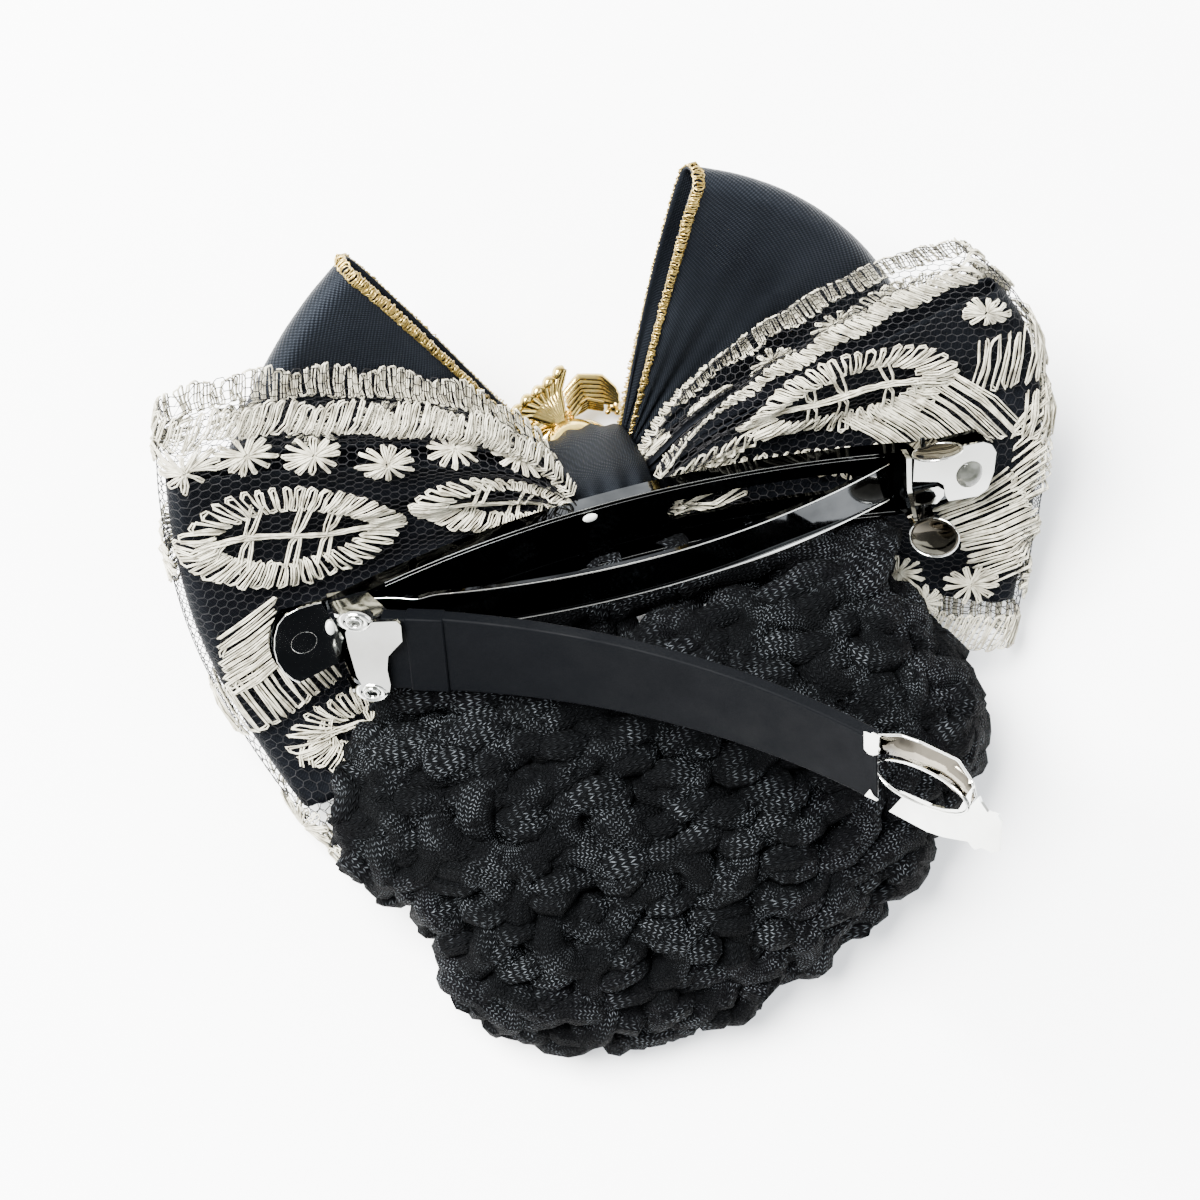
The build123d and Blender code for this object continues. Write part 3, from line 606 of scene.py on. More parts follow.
def leaf(centre, angle, half_length, half_height):
    """A leaf with a border of radiating stitches, a chained spine and open ribs."""
    turn = np.linspace(0, 2 * pi, 121)
    bulge = np.sin(turn) * np.abs(np.sin(turn)) ** 0.25
    outer = np.stack([half_length * np.cos(turn), half_height * bulge], 1)
    inner = np.stack([(half_length - 3.6) * np.cos(turn), (half_height - 3.1) * bulge], 1)
    parts = [satin_stitch(inner, outer, 1.18)]
    reach = half_length - 2.2
    along = np.linspace(-reach, reach, 30)
    for side in (-1, 1):
        parts.append(strand(np.stack([along, side * 0.2 + 0.35 * np.sin(along * 0.45)], 1), 0.3))
    for place in (-4.8, 0.3, 3.7):
        for side in (-1, 1):
            for shift in (-0.45, 0.45):
                rib = [(place + shift * 0.4 + side * 0.2, 0.2 * side), (place + shift, side * 1.4),
                       (place + shift * 1.2 - 0.4 * side, side * (half_height - 2.6))]
                parts.append(strand(rib))
    for place in (-8.6, -7.7):
        parts.append(strand([(place + 0.7, 0), (place, 1.2), (place - 0.3, 2.4)]))
    return [turned(part, angle, centre) for part in parts]


def fan(start, end, stroke, slant):
    """A straight band of long stitches that all lean the same way."""
    start, end = np.array(start, float), np.array(end, float)
    line = start + (end - start) * np.linspace(0, 1, 20)[:, None]
    direction = np.array([cos(slant), sin(slant)]) * stroke / 2
    return [satin_stitch(line - direction, line + direction, 1.1, 0.26)]


def star(centre, turn, radius=2.9):
    """A star of narrow looped spokes."""
    parts = []
    for spoke in range(STAR_SPOKES):
        angle = turn + 2 * pi * spoke / STAR_SPOKES + stitch_chance.uniform(-0.1, 0.1)
        long = radius * stitch_chance.uniform(0.86, 1.06)
        out, side = np.array([cos(angle), sin(angle)]), np.array([-sin(angle), cos(angle)])
        points = [out * 0.3 + side * 0.02, out * long * 0.7 + side * 0.14, out * long + side * 0.17,
                  out * (long + 0.1), out * long - side * 0.17, out * long * 0.7 - side * 0.14, out * 0.3]
        heights = np.array([0.42, 0.34, 0.16, 0.12, 0.16, 0.34, 0.42])
        parts.append(np.c_[np.array(points) + centre, heights])
    return parts


def edge_band(reach, top, bottom):
    """The stitched edge of the ribbon, with a wavy outer side."""
    along = np.linspace(-reach, reach, 240)
    wave = np.abs(np.sin(pi * along / SCALLOP_LENGTH))
    depth = 1 if bottom > top else -1
    outer = np.stack([along + 0.35, top + depth * SCALLOP * (1 - wave)], 1)
    inner = np.stack([along - 0.35, bottom + 0.35 * np.sin(2 * pi * along / SCALLOP_LENGTH)], 1)
    return [satin_stitch(inner, outer, 1.05)]


def lace_left_stitches():
    """The left loop's pattern, from its top edge down."""
    parts = edge_band(STITCHED_REACH, -2.9, 1.5)
    parts += edge_band(STITCHED_REACH, LACE_WIDTH - 0.5, LACE_WIDTH - 4.6)
    for repeat in (-2, -1, 0, 1):
        start = LEFT_REPEAT * repeat
        parts += leaf((start + 13.9, 17.4), 0.16, 12.2, 7.1)
        parts += fan((start + 7.2, 27.0), (start + 6.2, 35.2), 7.4, -0.38)
        parts += fan((start - 1.2, 39.4), (start + 13.4, 36.4), 7.2, 1.45)
        parts += leaf((start + 14.0, 47.5), 0.25, 9.5, 4.6)
    for place, across in ((3.6, 5.0), (9.0, 4.8), (15.7, 5.4), (23.4, 6.8), (30.9, 4.4), (38.6, 4.0)):
        parts += star(np.array((place, across)), place)
        parts += star(np.array((place - 41.0, across)), place)
    for place in np.arange(-44.0, 48.0, 7.7):
        parts += star(np.array((place + 6.1, 52.6)), place, 2.5)
    return parts


def lace_right_stitches():
    """The right loop's pattern, from its top edge down."""
    parts = edge_band(STITCHED_REACH, 0.5, 4.7)
    parts += edge_band(STITCHED_REACH, LACE_WIDTH - 0.5, LACE_WIDTH - 6.6)
    for start in (-RIGHT_REPEAT, 0.0, RIGHT_REPEAT):
        parts += leaf((start + 23.2, 13.4), -0.25, 12.2, 7.2)
        parts += fan((start + 21.0, 22.4), (start + 8.0, 20.4), 9.6, 2.3)
        parts += fan((start + 9.4, 16.6), (start - 2.4, 16.2), 6.4, 1.15)
        parts += fan((start + 2.4, 20.8), (start + 2.0, 31.2), 8.8, 0.55)
        parts += fan((start + 10.4, 30.4), (start + 3.0, 45.6), 9.6, 0.62)
        parts += fan((start + 42.0, 22.4), (start + 21.0, 26.0), 4.4, 1.35)
    for place in np.arange(-44.0, 48.0, 8.2):
        parts += star(np.array((place + 3.0, 48.6)), place)
        if place < 0:
            parts += star(np.array((place, 8.8)), place)
    for place, across in ((-2.6, 9.6), (5.2, 9.8), (13.1, 52.4)):
        parts += star(np.array((place, across)), place, 2.2)
    return parts


def keep_inside(parts, reach):
    """The parts of the threads that lie on the ribbon."""
    kept = []
    for part in parts:
        inside = ((np.abs(part[:, 0]) < reach - END_MARGIN) & (part[:, 1] > -LACE_BEYOND)
                  & (part[:, 1] < LACE_WIDTH - EDGE_MARGIN))
        ends = np.flatnonzero(np.diff(inside.astype(int))) + 1
        kept += [run for run, flags in zip(np.split(part, ends), np.split(inside, ends))
                 if flags[0] and len(run) > 1]
    return kept


def embroidery(name, loop, parts):
    """Stitches laid on a lace loop, each of two threads side by side."""
    reach = layer_run(loop) + fold_half(loop)
    twins = []
    for part in keep_inside(parts, reach):
        for side in (-1, 1):
            apart = stitch_chance.normal(TWIN_APART * side, TWIN_CHANCE, part.shape)
            twins.append(part + apart + (0, 0, TWIN_LIFT))
    mesh = tube_mesh(name, lines_on_loop(loop, twins), STITCH)
    return new_piece(name, mesh, ivory_thread)


def net(name, loop, top):
    """Hexagonal net over the ribbon below a line: zigzag threads and the short links between them."""
    reach = layer_run(loop) + fold_half(loop) - 0.3
    rise = NET_CELL / 3 ** 0.5
    lines = []
    rows = int(2 * reach / (1.5 * rise))
    across = np.arange(top, LACE_WIDTH - EDGE_MARGIN, NET_CELL / 2)
    for row in range(rows):
        base = -reach + 1.5 * rise * row
        swing = np.where(np.arange(len(across)) % 2 == row % 2, rise / 2, 0.0)
        lines.append(np.stack([base + swing, across, np.zeros(len(across))], 1))
        if row + 1 < rows:
            for place in across[row % 2::2]:
                lines.append(np.array([(base + rise / 2, place, 0), (base + 1.5 * rise, place, 0)]))
    mesh = tube_mesh(name, lines_on_loop(loop, lines), NET_THREAD)
    return new_piece(name, mesh, net_thread)


def build_lace_loop(name, loop, lining, parts, top):
    """Net, stitches and lining of one lace loop."""
    net_piece = net("lace_net_" + name, loop, top)
    stitches = embroidery("lace_stitches_" + name, loop, parts)
    cloth, length = ribbon_cloth("lace_lining_" + name, lining, LINING_MARGIN, LACE_WIDTH - LINING_MARGIN,
                                 lining_cloth, LINING_THICK)
    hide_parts("lining_loop_" + name)
    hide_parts("lace_loop_" + name)


def build_satin_loop(name, loop):
    """A satin loop with a gold selvage along both edges."""
    cloth, length = ribbon_cloth("satin_ribbon_" + name, loop, 0.0, SATIN_WIDTH, satin,
                                 SATIN_THICK, (150, 40))
    reach = layer_run(loop) + fold_half(loop) - 0.2
    along = np.linspace(-reach, reach, 260)
    threads = []
    for low, high in ((SELVAGE_EDGE, SELVAGE_WIDTH),
                      (SATIN_WIDTH - SELVAGE_WIDTH, SATIN_WIDTH - SELVAGE_EDGE)):
        for shift, height in ((0.0, 0.22), (0.31, 0.3), (0.62, 0.24)):
            inner, outer = [np.stack([along + shift, np.full_like(along, side)], 1) for side in (low, high)]
            part = satin_stitch(inner, outer, 1.1, 0.08)
            part[:, 2] += height - 0.2
            threads += keep_inside([part], reach)
    mesh = tube_mesh("gold_selvage_" + name, lines_on_loop(loop, threads), SELVAGE_THREAD)
    selvage = new_piece("gold_selvage_" + name, mesh, gold_lurex)
    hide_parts("satin_loop_" + name)


build_lace_loop("left", lace_left, lining_left, lace_left_stitches(), LEFT_NET_TOP)
build_lace_loop("right", lace_right, lining_right, lace_right_stitches(), RIGHT_NET_TOP)
build_satin_loop("left", satin_left)
build_satin_loop("right", satin_right)


# Bag: rings of interlooped knitted cord over the frame's bag shape

BagRow = namedtuple("BagRow", "along left right low side high tilt keel")
BAG_LENGTH, BAG_WIDTH, BAG_HEIGHT = 55.0, 72.0, 24.0
BAG = (
    BagRow(0.145, -0.405, 0.410, 0.530, 0.665, 0.930, 0.165, 1.2),
    BagRow(0.210, -0.430, 0.405, 0.445, 0.535, 0.975, 0.110, 1.2),
    BagRow(0.300, -0.475, 0.435, 0.330, 0.460, 1.010, 0.060, 2.0),
    BagRow(0.420, -0.510, 0.470, 0.150, 0.435, 1.000, 0.020, 5.5),
    BagRow(0.520, -0.500, 0.500, 0.050, 0.370, 0.965, 0.000, 2.2),
    BagRow(0.620, -0.445, 0.475, 0.040, 0.350, 0.900, 0.000, 1.4),
    BagRow(0.720, -0.400, 0.410, 0.040, 0.320, 0.790, 0.000, 1.0),
    BagRow(0.820, -0.395, 0.350, 0.040, 0.280, 0.660, 0.000, 0.9),
    BagRow(0.900, -0.335, 0.245, 0.050, 0.245, 0.535, 0.000, 0.8),
    BagRow(0.960, -0.250, 0.155, 0.075, 0.215, 0.410, 0.000, 0.8),
    BagRow(0.990, -0.170, 0.060, 0.120, 0.200, 0.310, 0.000, 0.8),
)
RING_SHARES = (0.165, 0.235, 0.310, 0.385, 0.460, 0.535, 0.610, 0.685, 0.760, 0.835, 0.900, 0.955)
BACK_RING_SHARES = (0.155, 0.270, 0.350, 0.425, 0.500, 0.575, 0.650, 0.725, 0.800, 0.865, 0.930)
BAG_CENTRE = np.array([0.0, -BAG_LENGTH * 0.55, BAG_HEIGHT * 0.42])
RING_CORD, BACK_CORD, FOOT_CORD = 1.62, 1.55, 1.6
LOOP_LENGTH, LOOP_SWING, LOOP_DEPTH, LOOP_WAVE, LOOP_POINTS = 7.4, 0.21, 2.4, 1.25, 16
FLOOR_CLEARANCE, ARM_CLEARANCE, ARM_LEVEL, ARM_SIDE = 1.9, 1.95, 1.2, -5.0
BOW_TRIES, BOW_SPACING, BOW_RADIUS = 9000, 5.0, 1.95
BOW_BEND, BOW_REACH, BOW_ROOT = (2.8, 5.6), (5.0, 8.2), 3.4
cord_chance = np.random.default_rng(5)
RIPPLES = [(cord_chance.normal(0, 1, 3) / cord_chance.uniform(5, 13), cord_chance.uniform(0, 2 * pi),
            cord_chance.normal(0, 1, 3)) for _ in range(9)]


def ripple(points, size):
    """A smooth irregular shift of points in millimetres."""
    shift = np.zeros_like(points)
    for wave, phase, way in RIPPLES:
        shift += np.sin(points @ wave * 2 * pi + phase)[:, None] * way
    return shift * size / 3


def bag_surface(share, turn):
    """The bag's outside in the rest frame, in millimetres."""
    left, right = BAG_WIDTH * column(BAG, "left", share), BAG_WIDTH * column(BAG, "right", share)
    low, high = BAG_HEIGHT * column(BAG, "low", share), BAG_HEIGHT * column(BAG, "high", share)
    side, tilt = BAG_HEIGHT * column(BAG, "side", share), BAG_HEIGHT * column(BAG, "tilt", share)
    wide, tall = np.cos(turn), np.sin(turn)
    x = (left + right) / 2 + (right - left) / 2 * np.sign(wide) * np.abs(wide) ** 0.8
    rise = side + (high - side) * np.abs(tall) ** 0.85
    drop = side - (side - low) * np.abs(tall) ** column(BAG, "keel", share)
    return np.stack([x, -BAG_LENGTH * share - tilt * tall, np.where(tall >= 0, rise, drop)], axis=-1)


def on_bag(share, turn, depth):
    """Places in the bag's wall in the rest frame, at depths below its outside."""
    share = np.clip(share, BAG[0].along, BAG[-1].along)
    step, tiny = 0.004, 1e-9
    here = bag_surface(share, turn)
    ahead = (bag_surface(np.minimum(share + step, BAG[-1].along), turn)
             - bag_surface(np.maximum(share - step, BAG[0].along), turn))
    aside = bag_surface(share, turn + step) - bag_surface(share, turn - step)
    outward = np.cross(ahead, aside)
    outward /= np.maximum(np.linalg.norm(outward, axis=-1, keepdims=True), tiny)
    outward *= np.where((outward * (here - BAG_CENTRE)).sum(-1, keepdims=True) < 0, -1, 1)
    return here - outward * np.asarray(depth)[..., None]


def ring_turns(share, places):
    """Turns round a ring of the bag for places given as shares of its length."""
    turns = np.linspace(0, 2 * pi, 721)
    ring = bag_surface(np.full(721, share), turns)
    steps = np.r_[0, np.cumsum(np.linalg.norm(np.diff(ring, axis=0), axis=1))]
    return np.interp(np.mod(places, 1) * steps[-1], steps, turns), steps[-1]


def cord_mesh(name, points, radius, sides, closed=True):
    """One knitted cord, with its flat coordinates in millimetres along and round it. Open ones taper."""
    steps = np.r_[0, np.cumsum(np.linalg.norm(np.diff(points, axis=0), axis=1))]
    swell = radius * (1 + 0.10 * np.sin(steps * 0.9 + cord_chance.uniform(0, 6)) +
                      0.07 * np.sin(steps * 2.1 + cord_chance.uniform(0, 6)))
    if not closed:
        swell *= 1 - 0.75 * np.abs(np.linspace(-1, 1, len(points))) ** 6
    mesh = tube_mesh(name, [np.array(REST) + MM * points], 1.0, sides, closed, [swell])
    places = np.empty(2 * len(mesh.loops), np.float32)
    mesh.uv_layers[0].data.foreach_get("uv", places)
    places = places.reshape(-1, 2) * np.array([steps[-1], 2 * pi * radius])
    mesh.uv_layers[0].data.foreach_set("uv", places.astype(np.float32).ravel())
    return mesh


def bow_places():
    """Places spread at random over the bag, none nearer to another than a spacing."""
    shares = cord_chance.uniform(BAG[0].along + 0.015, BAG[-1].along, BOW_TRIES)
    turns = cord_chance.uniform(0, 2 * pi, BOW_TRIES)
    places = bag_surface(shares, turns)
    kept = [0]
    for index in range(1, BOW_TRIES):
        if np.linalg.norm(places[kept] - places[index], axis=1).min() > BOW_SPACING:
            kept.append(index)
    return shares[kept], turns[kept]


def cord_bows():
    """The bows of cord that stand out of the knit, each one coming out of it and going back in."""
    shares, turns = bow_places()
    here = on_bag(shares, turns, np.zeros(len(shares)))
    outward = on_bag(shares, turns, -np.ones(len(shares))) - here
    bows = []
    for place, out in zip(here, outward):
        ahead = np.cross(out, cord_chance.normal(0, 1, 3))
        ahead /= np.linalg.norm(ahead)
        aside = np.cross(out, ahead)
        bend = cord_chance.uniform(*BOW_BEND)
        reach = cord_chance.uniform(*BOW_REACH) / bend
        turn = np.linspace(-reach, reach, 15)
        bow = place + bend * ((np.cos(turn) - 0.75)[:, None] * ahead + np.sin(turn)[:, None] * aside)
        spread = np.linalg.norm(bow - place, axis=1)
        sink = BOW_RADIUS - cord_chance.uniform(0.0, 0.9) + BOW_ROOT * np.abs(turn / reach) ** 3.2
        sink = sink + spread ** 2 / 30
        if out[2] > -0.35:
            bows.append(bow - sink[:, None] * out)
    return bows


def looped_ring(share, stitches, height, phase):
    """A ring of knit loops: each goes down, leans under the next row and comes up again."""
    time = np.linspace(0, 2 * pi * stitches, stitches * LOOP_POINTS, endpoint=False)
    places = (time / (2 * pi) + LOOP_SWING * np.sin(2 * time) + phase) / stitches
    turns, _ = ring_turns(share, places)
    along = share + height * np.cos(time) / BAG_LENGTH
    points = on_bag(along, turns, LOOP_DEPTH - LOOP_WAVE * np.cos(2 * time))
    return points + ripple(points, 0.75)


def keep_on_floor(points, clearance=FLOOR_CLEARANCE):
    """Lifts points that would sink into the surface that the bag lies on."""
    points[:, 2] = np.maximum(points[:, 2], clearance)
    return points


def keep_off_arm(points):
    """Moves points out of the space that the closed arm takes."""
    axes = np.array([ALONG, UPWARD, HEADWARD])
    rest = np.array([0, 0, CLASP_HEIGHT])
    own = (points - rest) @ axes.T
    clear = np.minimum(own[:, 1], ARM_SIDE - ARM_CLEARANCE)
    own[:, 1] = np.where(own[:, 2] > ARM_LEVEL, clear, own[:, 1])
    return own @ axes + rest


def build_bag():
    """The bag's cords: rings of loops, the rings behind them, the foot and the bows that stand out."""
    meshes = []
    for row, share in enumerate(RING_SHARES):
        _, girth = ring_turns(share, np.zeros(1))
        stitches = max(5, round(girth / LOOP_LENGTH))
        points = looped_ring(share, stitches, 3.0 if row else 2.0, 0.5 * (row % 2))
        meshes.append(cord_mesh("cord", keep_off_arm(keep_on_floor(points)), RING_CORD, 8))
    for row, share in enumerate(BACK_RING_SHARES):
        _, girth = ring_turns(share, np.zeros(1))
        time = np.linspace(0, 2 * pi, int(girth / 1.6), endpoint=False)
        turns, _ = ring_turns(share, time / (2 * pi))
        wave = 0.018 * np.sin(time * round(girth / 11) + row)
        points = on_bag(share + wave, turns, np.full(len(time), 3.9))
        points = keep_off_arm(keep_on_floor(points + ripple(points, 0.5)))
        meshes.append(cord_mesh("cord", points, BACK_CORD, 8))
    time = np.linspace(0, 6 * pi, 150)
    foot = on_bag(0.988 - 0.045 * (1 - time / time[-1]), time, FOOT_CORD + time / 6)
    meshes.append(cord_mesh("cord", keep_on_floor(foot), FOOT_CORD, 8, False))
    rings = new_piece("snood_rings", join_meshes("snood_rings", meshes), knitted_cord)
    bows = [cord_mesh("cord", keep_on_floor(bow, BOW_RADIUS), BOW_RADIUS, 10, False)
            for bow in cord_bows()]
    new_piece("snood_bows", join_meshes("snood_bows", bows), knitted_cord)
    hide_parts("snood_bag")


build_bag()


# Clasp. Outlines are points in a plate's own plane, and lines are points above it

TENSION_LENGTH, TENSION_WIDTH, TENSION_RISE, TENSION_FOOT = 58.0, 5.0, 4.9, 29.0
TENSION_STEP, TENSION_STEP_PLACE, TENSION_STEP_LENGTH, TENSION_TWIST = 0.55, -24.5, 1.3, np.radians(9)
RIM_HEIGHT, RIM_SIDES = 1.2, (4.15, 3.72)
ARM_ROOT, ARM_RADIUS, ARM_STRIP_START = 6.0, 84.0, 7.6
WINDOW_MIDDLE, WINDOW_SLEW, WINDOW_STRIP_GAP = 62.2, radians(12), 8.2
WINDOW_SHEET, THIN_SHEET, THICK_SHEET, STRIP_SHEET = 0.3, 0.25, 0.4, 0.4
ROOT_WALL_SIDE, HINGE_WALL_SIDE, ROOT_CAP_LEVEL = 4.6, 3.85, 1.55
RIGHT_PLATE_LEVEL, LEFT_PLATE_LEVEL, CATCH_NOD = 5.95, 5.65, radians(6)
CATCH_LEVEL, HOOK_LEVEL, HOOK_THICK, EAR_RADIUS = 5.6, 6.1, 1.5, 2.62
WINDOW_PLATE = ((-4.9, -2.1), (-4.9, -5.2), (0.0, -4.8), (2.1, -4.2), (4.6, -3.1), (5.2, -2.8),
                (5.6, -3.2), (6.1, -3.3), (6.6, -2.8), (7.1, -2.5), (8.3, -2.3), (9.0, -1.7),
                (9.2, 2.4), (8.8, 2.9), (7.5, 2.5), (6.7, 3.2), (6.4, 3.7), (5.7, 4.6), (5.2, 3.6),
                (5.4, 1.9), (4.0, 0.6), (2.1, -0.5), (0.4, -1.1), (-1.2, -1.6), (-3.0, -2.0))
WINDOW_NECK = ((-7.2, 4.5), (-6.3, 4.75), (-5.2, 4.9), (-5.4, 2.6), (-6.0, 2.1), (-6.6, 1.9),
               (-7.2, 2.2))
WINDOW_CORNER = ((-7.2, -3.9), (-6.5, -2.6), (-5.6, -3.6))
WINDOW_BAND_LOW = ((-6.5, 1.4, 0.1), (-5.2, 2.2, 0.1), (-3.3, 2.8, 0.0), (-0.6, 3.1, 0.0),
                   (1.8, 2.9, 0.0), (4.1, 2.3, 0.0), (5.3, 1.8, 0.0))
WINDOW_BAND_HIGH = ((-6.1, 4.05, 0.2), (-4.0, 4.76, -0.6), (-2.0, 4.65, -1.2), (2.7, 5.2, -1.2),
                    (5.3, 4.6, -0.3), (5.9, 3.3, -0.1))
ROOT_CAP = ((-7.3, 3.3), (-6.9, 4.2), (-4.1, 4.9), (-1.9, 5.1), (-1.5, 4.6), (-1.55, 2.5), (-2.6, 1.2),
            (-3.2, 0.4), (-3.45, -1.4), (-3.3, -3.4), (-3.5, -4.4), (-4.3, -3.7), (-6.3, -3.5),
            (-6.7, -2.4), (-7.2, 1.5))
ROOT_WALL = ((-32.9, 7.6), (-30.4, 7.6), (-29.8, 9.6), (-30.1, 10.8), (-30.9, 10.4), (-32.9, 9.5))
HINGE_WALL = ((-33.2, 3.9), (-29.5, 4.4), (-28.1, 9.0), (-29.8, 9.7), (-30.6, 10.1), (-31.2, 10.0),
              (-31.8, 9.7), (-32.1, 9.2), (-32.4, 8.5), (-32.7, 7.9), (-33.3, 7.3))
RIGHT_PLATE = ((30.5, 3.9), (30.5, 0.5), (33.4, -0.5), (34.1, -1.2), (34.4, -2.9), (34.8, -3.8),
               (38.3, -4.2), (39.3, -3.5), (39.9, -1.2), (40.0, 1.6), (39.4, 2.9), (38.4, 3.6),
               (35.7, 3.8))
RIGHT_FOLD = ((30.2, 1.0), (32.6, 0.4), (34.4, -0.6), (34.6, -2.6), (30.5, -2.6))
RIGHT_LOBE = ((30.7, -1.0), (33.4, -1.2), (34.2, -2.0), (34.2, -2.8), (33.4, -3.7), (30.8, -3.1))
RIGHT_HOLE = ((30.8, -1.5), (32.0, -1.35), (33.0, -1.8), (33.3, -2.5), (32.6, -3.1), (31.6, -3.1),
              (30.9, -2.7))
CATCH_HOOK = ((29.2, 4.9), (29.8, 4.7), (30.0, 0.3), (30.9, -4.7), (30.5, -4.6), (29.5, 0.2))
LEFT_PLATE = ((-34.2, 4.7), (-36.6, 4.6), (-38.0, 4.2), (-38.9, 3.2), (-39.4, 1.8), (-39.6, 0.2),
              (-39.5, -1.4), (-39.0, -3.0), (-38.2, -4.3), (-37.5, -4.9), (-33.2, -3.7), (-32.4, -0.5))
ROOT_LOBES = (("upper", (-6.2, 4.75)), ("lower", (-5.3, -4.55)))
LOBE_RADII, EYELET_RADII, BORE_RADII = (1.75, 1.25), (0.72, 0.60), (0.62, 0.5)
EDGE_STEPS = 40
SLEEVE_LAPS = (("sleeve_lap", 0.65, (4.0, 9.52, 1.9)), ("sleeve_root", -2.2, (3.2, 9.2, 1.7)))
EARS = (("upper", 1, (32.2, 5.6, 8.6), 19), ("lower", -1, (31.8, -5.6, 8.7), 14))
EAR_SECTIONS = ((EAR_RADIUS, 0.02), (2.30, -0.12), (1.50, -0.34), (0.60, -0.42))
EAR_NECK = ((-1.7, 2.0), (1.1, 2.4), (1.3, 4.2), (-1.6, 4.2))
GLUE_PLACES = (
    ("glue_drop", (37.0, -0.5, 6.0), (1.5, 1.75, 0.85), glue),
    ("glue_on_rail", (-4.0, 3.1, 1.6), (0.8, 0.5, 0.3), glue_speck),
    ("glue_by_hinge", (-33.6, 1.2, 5.9), (0.5, 0.9, 0.25), glue_speck),
)


def tension_place(x, across, above):
    """Places on the sprung strip, with the small step in it near the hinge."""
    foot = float(base_level(TENSION_FOOT)) + 0.25
    radius = (TENSION_FOOT ** 2 + TENSION_RISE ** 2) / (2 * TENSION_RISE)
    level = foot + TENSION_RISE - radius + np.sqrt(radius ** 2 - x ** 2)
    step = TENSION_STEP * np.exp(-((x - TENSION_STEP_PLACE) / TENSION_STEP_LENGTH) ** 2)
    twist = across * TENSION_TWIST * np.sin(pi * (x / TENSION_LENGTH + 0.5))
    return clasp_points(np.stack([x, across + 0 * x, level + step + twist + above], -1))


def build_tension_bar():
    """The sprung strip with its two polished edges, and how they flatten."""
    half_length, half_width = TENSION_LENGTH / 2, TENSION_WIDTH / 2
    shape = flat_cloth(TENSION_LENGTH, TENSION_WIDTH, 120, 6)
    wrap(shape, lambda along, across, above: tension_place(along - half_length, across - half_width, above))
    bmesh.ops.recalc_face_normals(shape, faces=shape.faces)
    bmesh.ops.solidify(shape, geom=shape.faces[:], thickness=STRIP_SHEET * MM)
    # The strip is in the near-black plating, a painted dark reflection; its edges below are in the metal's
    # own colour.
    strip = new_piece("tension_strip", mesh_from("tension_strip", shape), dark_reflection_metal)
    smooth_by_angle(strip)
    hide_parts("tension_bar")
    x = np.linspace(-28.6, 28.4, 110)
    fine = 0.09 + 0 * x
    broad = fine + 0.26 * np.exp(-((x - 15) / 6.5) ** 2)
    edges = [tension_place(x, side * (half_width - 0.1), 0.12) for side in (-1, 1)]
    mesh = tube_mesh("tension_edges", edges, 1.0, 8, False, [broad, fine])
    rims = new_piece("tension_edges", mesh, bright_metal)
    for piece in (strip, rims):
        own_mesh(piece)


def build_rail_edges():
    """The polished edges of the base's two rims."""
    x = np.linspace(-28.8, 28.8, 90)
    level = base_level(x) + RIM_HEIGHT
    lines = [clasp_points(np.stack([x, 0 * x + side * reach, level], -1))
             for side in (-1, 1) for reach in RIM_SIDES]
    new_piece("rail_edges", tube_mesh("rail_edges", lines, 0.06), bright_metal)


def ring_of(shape, centre, radii, height):
    """A ring of vertices on an ellipse in a plane across Z."""
    ring = bmesh.ops.create_circle(shape, segments=48, radius=1.0)["verts"]
    bmesh.ops.transform(shape, verts=ring, matrix=Matrix.Translation((*centre, height))
                        @ Matrix.Diagonal((*radii, 1, 1)))
    return ring


def dish(shape, sections, closed_end=True):
    """Walls between rings of vertices on ellipses, given as (centre, radii, height)."""
    rings = [ring_of(shape, *section) for section in sections]
    for first, second in zip(rings, rings[1:]):
        edges = {edge for ring in (first, second) for vert in ring for edge in vert.link_edges
                 if all(end in ring for end in edge.verts)}
        bmesh.ops.bridge_loops(shape, edges=list(edges))
    if closed_end:
        bmesh.ops.contextual_create(shape, geom=rings[-1])


def place_plate(name, shape, matrix, thickness, body="root", made=bright_metal, smooth=True):
    """A sheet metal piece from a drawn surface, with its wall."""
    bmesh.ops.transform(shape, matrix=matrix, verts=shape.verts)
    piece = new_piece(name, mesh_from(name, shape), made, body, smooth)
    wall = piece.modifiers.new("wall", "SOLIDIFY")
    wall.thickness = thickness * MM
    wall.offset = 0
    return smooth_by_angle(piece, PLATE_ANGLE) if smooth else piece


def arm_frame(length):
    """Matrix of the plane that lies on the arm at a length from the hinge."""
    turn = (length - ARM_ROOT) / ARM_RADIUS
    along = ARM_ROOT + ARM_RADIUS * sin(turn)
    rise = ARM_RADIUS * (1 - cos(turn))
    place = (-HINGE_REACH + along * cos(ARM_OPEN) - rise * sin(ARM_OPEN), 0,
             HINGE_HEIGHT + along * sin(ARM_OPEN) + rise * cos(ARM_OPEN))
    return CLASP @ Matrix.Translation(place) @ Matrix.Rotation(-(ARM_OPEN + turn), 4, "Y")


def flat_plate(name, outline, matrix, thickness, body="root", made=bright_metal):
    """A flat sheet metal piece with an outline given as points in its own plane."""
    shape = bmesh.new()
    corners = [shape.verts.new((x, y, 0)) for x, y in outline]
    bmesh.ops.contextual_create(shape, geom=corners)
    return place_plate(name, shape, matrix, thickness, body, made, smooth=False)


def plate_band(name, first, second, matrix, body, made):
    """A curved sheet metal band between two lines of points in a plane's own frame."""
    shape = bmesh.new()
    edges = []
    for line in (first, second):
        corners = [shape.verts.new(place) for place in spaced(np.array(line), EDGE_STEPS)]
        edges += [shape.edges.new(pair) for pair in zip(corners, corners[1:])]
    bmesh.ops.bridge_loops(shape, edges=edges)
    return place_plate(name, shape, matrix, THIN_SHEET, body, made)


